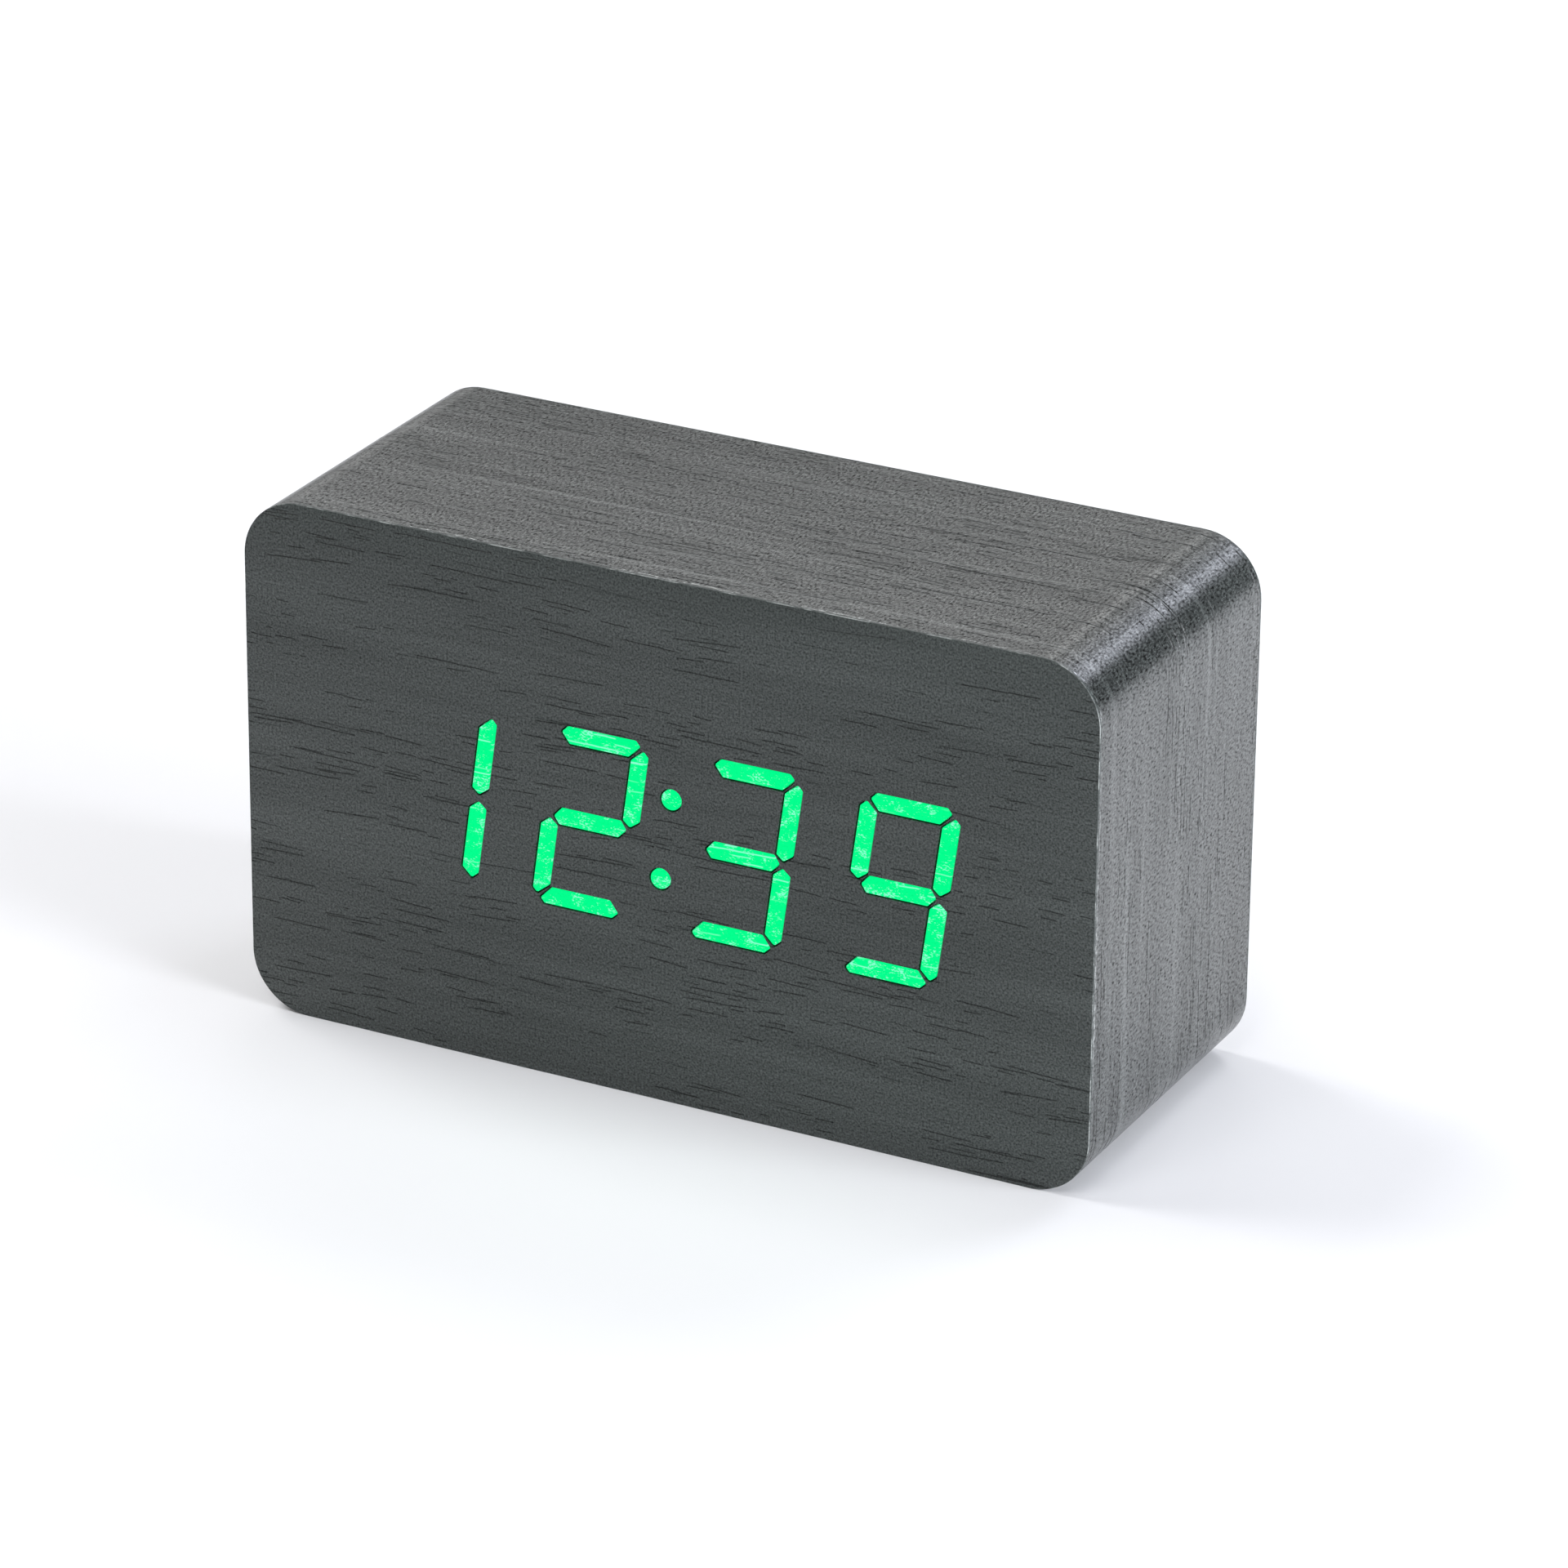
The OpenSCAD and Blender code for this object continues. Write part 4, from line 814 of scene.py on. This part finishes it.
@dataclass
class LitFigures:
    """The parts of the front foil that light comes through, one piece for each digit."""

    display: Display
    front: float = -19.75 * MM
    back: float = -19.45 * MM
    fillet: float = 0.07 * MM
    trim: float = 0.09 * MM  # how far the light stays inside the edge of its bar
    finish: LitFoil = LitFoil("lit_decor_foil", Grain.FRONT)
    nodes: tuple[str, ...] = ("lit_hour_tens", "lit_hours", "lit_minute_tens", "lit_minutes")

    def plate(self, outlines: list[np.ndarray], name: str) -> bpy.types.Object:
        """Builds thin plates with softened front edges.

        Each outline is repeated as rings: at the back, near the front, and set in by the
        fillet at the front, with a fan of triangles that closes the front and the back.

        Args:
            outlines: anticlockwise outlines in the front plane.
            name: the piece's name.

        Returns:
            The piece.
        """
        points, quads, tris = [], [], []
        base = 0
        for line in outlines:
            n = len(line)
            steps = (
                (0.0, self.back), (0.0, self.front + self.fillet),
                (-self.fillet * 0.3, self.front + self.fillet * 0.3), (-self.fillet, self.front),
            )
            rings = [
                np.insert(grown(line, by) if by else line, 1, y, axis=1) for by, y in steps
            ]
            points += rings
            numbers = [base + k * n + np.arange(n) for k in range(len(rings))]
            quads += [loop_walls(a, b) for a, b in zip(numbers, numbers[1:])]
            fan = np.arange(1, n - 1)
            tris.append(np.stack([0 * fan, fan, fan + 1], 1) + numbers[-1][0])
            tris.append(np.stack([0 * fan, fan + 1, fan], 1) + numbers[0][0])
            base += len(rings) * n
        quads_all, tris_all = np.concatenate(quads), np.concatenate(tris)
        smooth = np.arange(len(quads_all) + len(tris_all)) < len(quads_all)
        return mesh_piece(name, np.concatenate(points), quads_all, tris_all, smooth=smooth)

    def build(self) -> list[bpy.types.Object]:
        """Builds, dresses and places the four digits and the colon."""
        material = self.finish.make()
        made = []
        for place, node in enumerate(self.nodes):
            bars = [grown(bar, -self.trim) for bar in self.display.figure(place)]
            outlines = [rounded(bar, self.display.corner) for bar in bars]
            made.append((self.plate(outlines, node + "_glow"), node))
        made.append((self.plate(self.display.dots(-self.trim), "lit_colon_glow"), "lit_colon"))
        for piece, node in made:
            settle(piece, [material], node)
        return [piece for piece, _ in made]


@dataclass
class FrontSheet:
    """Front foil: a flat sheet with a window for every lit bar and a softened cut edge."""

    display: Display
    width: float = 100 * MM
    height: float = 59.5 * MM
    radius: float = 6.8 * MM
    front: float = -19.75 * MM
    back: float = -19.45 * MM
    edge: float = 0.07 * MM
    finish: WoodFoil = WoodFoil("decor_foil_front", Grain.FRONT, crowding=0.62)
    cut: CutFoil = CutFoil()

    def build(self) -> bpy.types.Object:
        """Builds the sheet from its outline and windows.

        The face lies between the outline, set in by the edge radius, and the windows. The
        edge is a quarter round of four rings, and each window has a wall to the back.

        Returns:
            The piece.
        """
        lift = np.array([0, self.height / 2])
        rings = []
        for a in np.linspace(0, np.pi / 2, 4):
            inset = self.edge * (1 - math.sin(a))
            y = self.front + self.edge * (1 - math.cos(a))
            line = round_rectangle(
                self.width - 2 * inset, self.height - 2 * inset, self.radius - inset, 28
            )
            rings.append(np.insert(line + lift, 1, y, axis=1))
        rings.append(rings[-1] * [1, 0, 1] + [0, self.back, 0])
        windows = self.display.windows()
        n = len(rings[0])
        numbers = [k * n + np.arange(n) for k in range(len(rings))]
        quads = [loop_walls(a, b)[:, ::-1] for a, b in zip(numbers, numbers[1:])]
        slots = [np.full(n, 1), np.full(n, 1), np.full(n, 1), np.full(n, 0)]
        points, base = list(rings), len(rings) * n
        loops = [numbers[0]]
        for line in windows:
            m = len(line)
            points += [
                np.insert(line, 1, self.front, axis=1), np.insert(line, 1, self.back, axis=1)
            ]
            near, far = base + np.arange(m), base + m + np.arange(m)
            quads.append(loop_walls(near, far))
            slots.append(np.full(m, 0))
            loops.append(near)
            base += 2 * m
        places = np.concatenate(points)
        order = np.concatenate(loops)
        flat = [[Vector((*places[i][[0, 2]], 0)) for i in loop] for loop in loops]
        tris = order[np.array(tessellate_polygon(flat))]
        tris = self.facing(places, tris)
        all_quads = np.concatenate(quads)
        kinds = np.concatenate([*slots, np.zeros(len(tris), int)])
        smooth = np.arange(len(kinds)) < len(all_quads)
        piece = mesh_piece("front_foil_sheet", places, all_quads, tris, kinds, smooth)
        finishes = [self.finish.make(), self.cut.make()]
        settle(piece, finishes, "front_foil")
        return piece

    @staticmethod
    def facing(places: np.ndarray, tris: np.ndarray) -> np.ndarray:
        """Turns every triangle so that its normal points to -Y."""
        a, b, c = (places[tris[:, k]] for k in range(3))
        away = np.cross(b - a, c - a)[:, 1] > 0
        tris[away] = tris[away][:, ::-1]
        return tris


@dataclass
class WrapStrip:
    """Wrap foil: one strip round the top, the sides and the base, open for the battery bay."""

    width: float = 100 * MM
    height: float = 59.5 * MM
    radius: float = 6.8 * MM
    thickness: float = 0.3 * MM
    front: float = -19.45 * MM
    back: float = 19.45 * MM
    opening_x: tuple[float, float] = (-32.7 * MM, 31.1 * MM)
    opening_y: float = 17.05 * MM
    finish: WoodFoil = WoodFoil(
        "decor_foil_wrap", Grain.WRAP, colour="#333635", roughness=0.27, gloss=0.75, bands=0.36,
        streaks=0.7, crowding=0.55, seed=31.0, speckle=4.8, pore_depth=0.5, emboss=0.055,
        tooth=(0.27, 0.52), rise=0.13,
    )
    steps: int = 33

    def outline(self) -> tuple[np.ndarray, np.ndarray, np.ndarray]:
        """Stations round the strip, anticlockwise seen from the front, from the base's middle.

        Returns:
            Places in X and Z, outward normals, and the arc length at each station.
        """
        w, h, r = self.width / 2, self.height, self.radius
        a = np.linspace(0, np.pi / 2, self.steps)
        corners = ((w - r, r, -90), (w - r, h - r, 0), (-w + r, h - r, 90), (-w + r, r, 180))
        places, normals = [], []
        base = [(0.0, 0.0), (self.opening_x[1], 0.0)]
        places.append(np.array(base))
        normals.append(np.array([[0, -1.0]] * 2))
        for cx, cz, turn in corners:
            angle = a + math.radians(turn)
            out = np.stack([np.cos(angle), np.sin(angle)], 1)
            arc = out * r + (cx, cz)
            along = np.stack([-out[:, 1], out[:, 0]], 1)
            places.append(
                np.concatenate([[arc[0] - along[0] * LEAD], arc, [arc[-1] + along[-1] * LEAD]])
            )
            normals.append(np.concatenate([out[:1], out, out[-1:]]))
        places.append(np.array([(self.opening_x[0], 0.0), (0.0, 0.0)]))
        normals.append(np.array([[0, -1.0]] * 2))
        place, normal = np.concatenate(places), np.concatenate(normals)
        gaps = np.linalg.norm(np.diff(place, axis=0), axis=1)
        # the chords of the corners stand for arcs, so the lengths add up to the true girth
        return place, normal, np.concatenate([[0], np.cumsum(gaps)])

    def build(self) -> bpy.types.Object:
        """Builds the strip as an outer and an inner skin, joined at its edges and its opening.

        Grid point (i, j) is the outline's station i at depth j, and the inner skin is the
        same point moved inwards along the normal by the thickness.

        Returns:
            The piece.
        """
        place, normal, girth = self.outline()
        depth = np.array([self.front, -self.opening_y, 0, self.opening_y, self.back])
        rows, cols = len(place), len(depth)

        def skin(inset: float) -> np.ndarray:
            """The grid of one skin, moved inwards."""
            flat = place - normal * inset
            grid = np.zeros((rows, cols, 3))
            grid[..., 0], grid[..., 2] = flat[:, None, 0], flat[:, None, 1]
            grid[..., 1] = depth[None]
            return grid.reshape(-1, 3)

        index = np.arange(rows * cols).reshape(rows, cols)
        i, j = np.meshgrid(np.arange(rows - 1), np.arange(cols - 1), indexing="ij")
        i, j = i.ravel(), j.ravel()
        edge_row = (i == 0) | (i == rows - 2)
        open_cell = edge_row & (j > 0) & (j < cols - 2)
        i, j = i[~open_cell], j[~open_cell]
        outer = np.stack([index[i, j], index[i + 1, j], index[i + 1, j + 1], index[i, j + 1]], 1)
        n = rows * cols
        inner = outer[:, ::-1] + n
        ends = []
        for col, flip in ((0, False), (cols - 1, True)):
            line = index[:, col]
            wall = np.stack([line[:-1], line[:-1] + n, line[1:] + n, line[1:]], 1)
            ends.append(wall[:, ::-1] if flip else wall)
        hole = [
            *((index[r, c], index[r, c + 1]) for r in (1, rows - 2) for c in (1, 2)),
            *((index[r, c], index[r + 1, c]) for r in (0, rows - 2) for c in (1, 3)),
        ]
        a, b = np.array(hole).T
        rim = np.stack([a, b, b + n, a + n], 1)
        quads = np.concatenate([outer, inner, *ends, rim])
        points = np.concatenate([skin(0), skin(self.thickness)])
        cut = np.arange(len(quads)) >= 2 * len(outer)
        piece = mesh_piece("wrap_foil_strip", points, quads, slots=cut.astype(int), smooth=~cut)
        corner = quads.ravel() % n
        uv = np.stack([girth[corner // cols], depth[corner % cols]], 1)
        layer = piece.data.uv_layers.new(name="foil")
        layer.uv.foreach_set("vector", uv.astype(np.float32).ravel())
        finishes = [self.finish.make(), CutFoil("cut_foil_rim").make()]
        settle(piece, finishes, "wrap_foil")
        log.info("the wrap's girth is %.1f mm", girth[-1] / MM)
        return piece


@dataclass
class CadDress:
    """Finishes of the CAD nodes that show as they are."""

    soft_edges: dict[str, float] = field(
        default_factory=lambda: {
            "rear_cover": 0.18, "set_key": 0.12, "up_key": 0.12, "down_key": 0.12,
            "switch_slider": 0.1, "battery_door": 0.15, "battery_bay": 0.12,
            "cover_screws": 0.06, "bay_screws": 0.06, "usb_shell": 0.05,
        }
    )

    def finishes(self) -> dict[str, object]:
        """The finish of each CAD node."""
        cover = Moulded("spark_textured_abs", "#1d1e20", 0.55, 0.22, 0.03)
        key = Moulded("satin_moulded_abs", "#26272a", 0.42, 0.16, 0.012)
        door = Moulded("spark_textured_abs_door", "#1f2022", 0.55, 0.22, 0.03)
        nylon = Moulded("black_nylon", "#1b1c1e", 0.5, 0.3, 0.02)
        cream = Moulded("natural_nylon", "#e6dcc0", 0.45, 0.3, 0.01)
        chip = Moulded("moulded_chip_resin", "#17181a", 0.6, 0.12, 0.02)
        bright = Plated("nickel_plated_steel", "#c3c1bb", 0.28)
        zinc = Plated("zinc_plated_steel", "#b5b8bc", 0.38)
        dark = Plated("black_zinc_steel", "#303134", 0.4)
        can = Plated("tinned_drawn_can", "#c8c8c9", 0.3)
        board = SolderMask()
        fibre = Fibreboard()
        rear = WoodFoil("decor_foil_rear", Grain.REAR, crowding=0.5, seed=57.0)
        return {
            "rear_foil": rear, "front_board": fibre, "case_frame": fibre, "rear_board": fibre,
            "light_mask": Moulded("black_mask_film", "#08090a", 0.7, 0.4, 0.005),
            "diffuser_sheet": Moulded("milky_film", "#e4e9e6", 0.6, 0.5, 0.005, 0.3),
            "reflector_block": Moulded("white_polycarbonate", "#efefea", 0.4, 0.5, 0.01),
            "display_pcb": board, "main_pcb": board,
            "led_chips": Moulded("led_resin", "#f0e6b8", 0.3, 0.2, 0.005),
            "driver_chips": chip, "controller_chip": chip,
            "display_screws": zinc, "board_screws": zinc,
            "display_socket": cream, "main_socket": cream,
            "ribbon_cable": Moulded("ribbon_pvc", "#8f959b", 0.4, 0.6, 0.01),
            "clock_crystal": can, "microphone": can, "backup_cell": bright,
            "backup_cell_holder": nylon,
            "capacitors": Moulded("capacitor_sleeve", "#25324d", 0.3, 0.5, 0.01),
            "chip_resistors": Moulded("resistor_glaze", "#202124", 0.35, 0.2, 0.005),
            "buzzer": Moulded("buzzer_case", "#151618", 0.5, 0.25, 0.02),
            "thermistor": Moulded("dipped_resin", "#20242c", 0.25, 0.4, 0.005),
            "tact_switches": nylon, "switch_housing": zinc, "usb_shell": bright,
            "usb_insert": nylon, "rear_cover": cover, "cover_screws": dark,
            "set_key": key, "up_key": key, "down_key": key,
            "set_plunger": cream, "up_plunger": cream, "down_plunger": cream,
            "switch_lever": nylon, "switch_slider": key,
            "battery_bay": Moulded("moulded_abs_bay", "#1c1d1f", 0.5, 0.25, 0.02),
            "bay_screws": dark,
            "cell_front": ShrinkSleeve("cell_sleeve_plus_right", turn=1.0),
            "cell_middle": ShrinkSleeve("cell_sleeve_plus_left", turn=-1.0),
            "cell_rear": ShrinkSleeve("cell_sleeve_plus_right_rear", turn=1.0),
            "plus_contact": bright, "minus_contact": bright, "link_contacts": bright,
            "red_wire": Moulded("red_pvc_sleeve", "#a3201a", 0.35, 0.5, 0.01),
            "black_wire": Moulded("black_pvc_sleeve", "#191a1c", 0.35, 0.5, 0.01),
            "battery_door": door, "door_pad": Foam(),
        }

    def dress(self) -> None:
        """Gives each CAD node its material, and softens the edges of the parts that show."""
        made: dict[str, bpy.types.Material] = {}
        for node, finish in self.finishes().items():
            if finish.name not in made:
                made[finish.name] = finish.make()
            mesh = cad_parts[node].data
            mesh.materials.clear()
            mesh.materials.append(made[finish.name])
            if node in self.soft_edges:
                self.soften(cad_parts[node], self.soft_edges[node] * MM)
        log.info("dressed %d CAD nodes in %d finishes", len(self.finishes()), len(made))

    @staticmethod
    def soften(node: bpy.types.Object, radius: float) -> None:
        """Merges a CAD node's loose triangles and rounds its edges, by modifiers alone."""
        weld = node.modifiers.new("weld", "WELD")
        weld.merge_threshold = 1e-6
        bevel = node.modifiers.new("soft_edge", "BEVEL")
        bevel.width = radius
        bevel.segments = 2
        bevel.limit_method = "ANGLE"
        bevel.angle_limit = math.radians(40)
        bevel.use_clamp_overlap = True


# ---------------------------------------------------------------- studio


PANEL = (0.42, 0.24)  # width and height of a small light panel


@dataclass(frozen=True)
class SoftBox:
    """One area light that faces the clock."""

    name: str
    azimuth: float  # degrees to the right of straight behind the clock
    elevation: float
    power: float  # watts
    tint: str = "#ffffff"
    width: float = 0.8
    height: float = 0.8
    distance: float = 1.4

    def place(self) -> bpy.types.Object:
        """Adds the light, aimed at the middle of the clock."""
        lamp = bpy.data.lights.new(self.name, "AREA")
        lamp.shape, lamp.size, lamp.size_y = "RECTANGLE", self.width, self.height
        lamp.energy, lamp.color = self.power, linear(self.tint)[:3]
        a, e = math.radians(self.azimuth), math.radians(self.elevation)
        way = Vector((math.sin(a) * math.cos(e), math.cos(a) * math.cos(e), math.sin(e)))
        box = bpy.data.objects.new(self.name, lamp)
        box.location = way * self.distance + Vector((0, 0, 0.03))
        box.rotation_euler = way.to_track_quat("Z", "Y").to_euler()
        bpy.context.scene.collection.objects.link(box)
        return box


@dataclass
class Studio:
    """Pale floor, soft light and the camera.

    The key boxes make the pale line along the top corner at the right, the low box at the right
    lights that side, and the box below lights the hatch when it hangs open.
    """

    eye: tuple[float, float, float] = (0.334551, -0.642835, 0.348457)
    yaw: float = math.radians(-27.193)
    pitch: float = math.radians(-23.794)
    roll: float = math.radians(0.532)
    lens: float = 170.88  # mm, for a sensor 36 mm wide
    half_floor: float = 0.8
    pale: str = "#f3f3f5"
    boxes: tuple[SoftBox, ...] = (
        SoftBox("right_low_box", 95, 14, 9.6, "#f6f9ff", 0.5, 0.35, 0.8),
        SoftBox("left_box", -90, 50, 12.5),
        SoftBox("key_box_high", 8, 50, 1.65, "#ffffff", *PANEL),
        SoftBox("key_box_low", 24, 30, 1.55, "#eef2ff", *PANEL),
        SoftBox("key_box_middle", 24, 39, 0.982, "#eef2ff", *PANEL),
        SoftBox("key_box_right", 24, 50, 0.855, "#eef2ff", *PANEL),
        SoftBox("key_box_left", 8, 39, 0.76, "#f4f6ff", *PANEL),
        SoftBox("back_box_middle", -8, 39, 0.62, "#ffffff", *PANEL),
        SoftBox("back_box_low", -24, 30, 0.74, "#ffffff", *PANEL),
        SoftBox("back_box_high", -24, 39, 0.42, "#ffffff", *PANEL),
        SoftBox("front_box", 180, 50, 6.03),
        SoftBox("left_low_box", -50, 20, 2.01),
        SoftBox("right_high_box", 100, 60, 1.41),
        SoftBox("below_box", 200, -50, 6.0, "#ffffff", 0.6, 0.6, 1.0),
    )

    def camera(self) -> bpy.types.Object:
        """Adds the camera: it looks along its yaw and pitch, turned about that by its roll."""
        look = Vector((
            math.sin(self.yaw) * math.cos(self.pitch),
            math.cos(self.yaw) * math.cos(self.pitch),
            math.sin(self.pitch),
        ))
        right = look.cross(Vector((0, 0, 1))).normalized()
        up = right.cross(look)
        c, s = math.cos(self.roll), math.sin(self.roll)
        right, up = right * c + up * s, up * c - right * s
        data = bpy.data.cameras.new("camera")
        data.lens, data.sensor_width = self.lens, 36.0
        data.clip_start, data.clip_end = 0.01, 50.0
        eye = bpy.data.objects.new("camera", data)
        turn = Matrix((right, up, -look)).transposed()
        eye.matrix_world = Matrix.Translation(Vector(self.eye)) @ turn.to_4x4()
        bpy.context.scene.collection.objects.link(eye)
        bpy.context.scene.camera = eye
        return eye

    def floor(self) -> bpy.types.Object:
        """Adds the floor: matte white board, see-through from below."""
        corners = np.array([[-1, -1, 0], [1, -1, 0], [1, 1, 0], [-1, 1, 0]], float)
        points = corners * self.half_floor
        piece = mesh_piece("floor", points, np.array([[0, 1, 2, 3]]))
        material, tree, shader = new_material("white_board_floor")
        at = object_mm(tree)
        cloud = add(tree, "TexNoise", {"Vector": at, "Scale": 0.02, "Detail": 3.0})
        level = add(tree, "Math.MULTIPLY_ADD", {0: cloud, 1: 0.012, 2: 0.984})
        colour = dimmed(tree, linear(self.pale), level)
        feed(shader, {"Base Color": colour, "Roughness": 0.6})
        below = add(tree, "NewGeometry").outputs["Backfacing"]
        clear = add(tree, "BsdfTransparent").outputs[0]
        joined = add(tree, "MixShader", {0: below, 1: shader.outputs[0], 2: clear})
        out = next(n for n in tree.nodes if n.type == "OUTPUT_MATERIAL")
        feed(out, {"Surface": joined})
        piece.data.materials.append(material)
        return piece

    def sky(self) -> None:
        """Sets the surround: white to look at, though it gives the clock no light."""
        world = bpy.data.worlds.new("studio")
        world.use_nodes = True
        tree = world.node_tree
        seen = add(tree, "LightPath").outputs["Is Camera Ray"]
        feed(tree.nodes["Background"], {"Color": (1, 1, 1, 1), "Strength": seen})
        bpy.context.scene.world = world

    def build(self) -> None:
        """Builds the whole studio."""
        scene = bpy.context.scene
        scene.view_settings.view_transform = "Standard"
        scene.view_settings.look = "None"
        self.sky()
        self.floor()
        for box in self.boxes:
            box.place()
        self.camera()
        log.info("studio with %d soft boxes", len(self.boxes))


def main() -> None:
    logging.basicConfig(level=logging.INFO, format="%(name)s: %(message)s")
    Studio().build()
    display = Display()
    FrontSheet(display).build()
    LitFigures(display).build()
    WrapStrip().build()
    CadDress().dress()


if __name__ == "__main__":
    main()
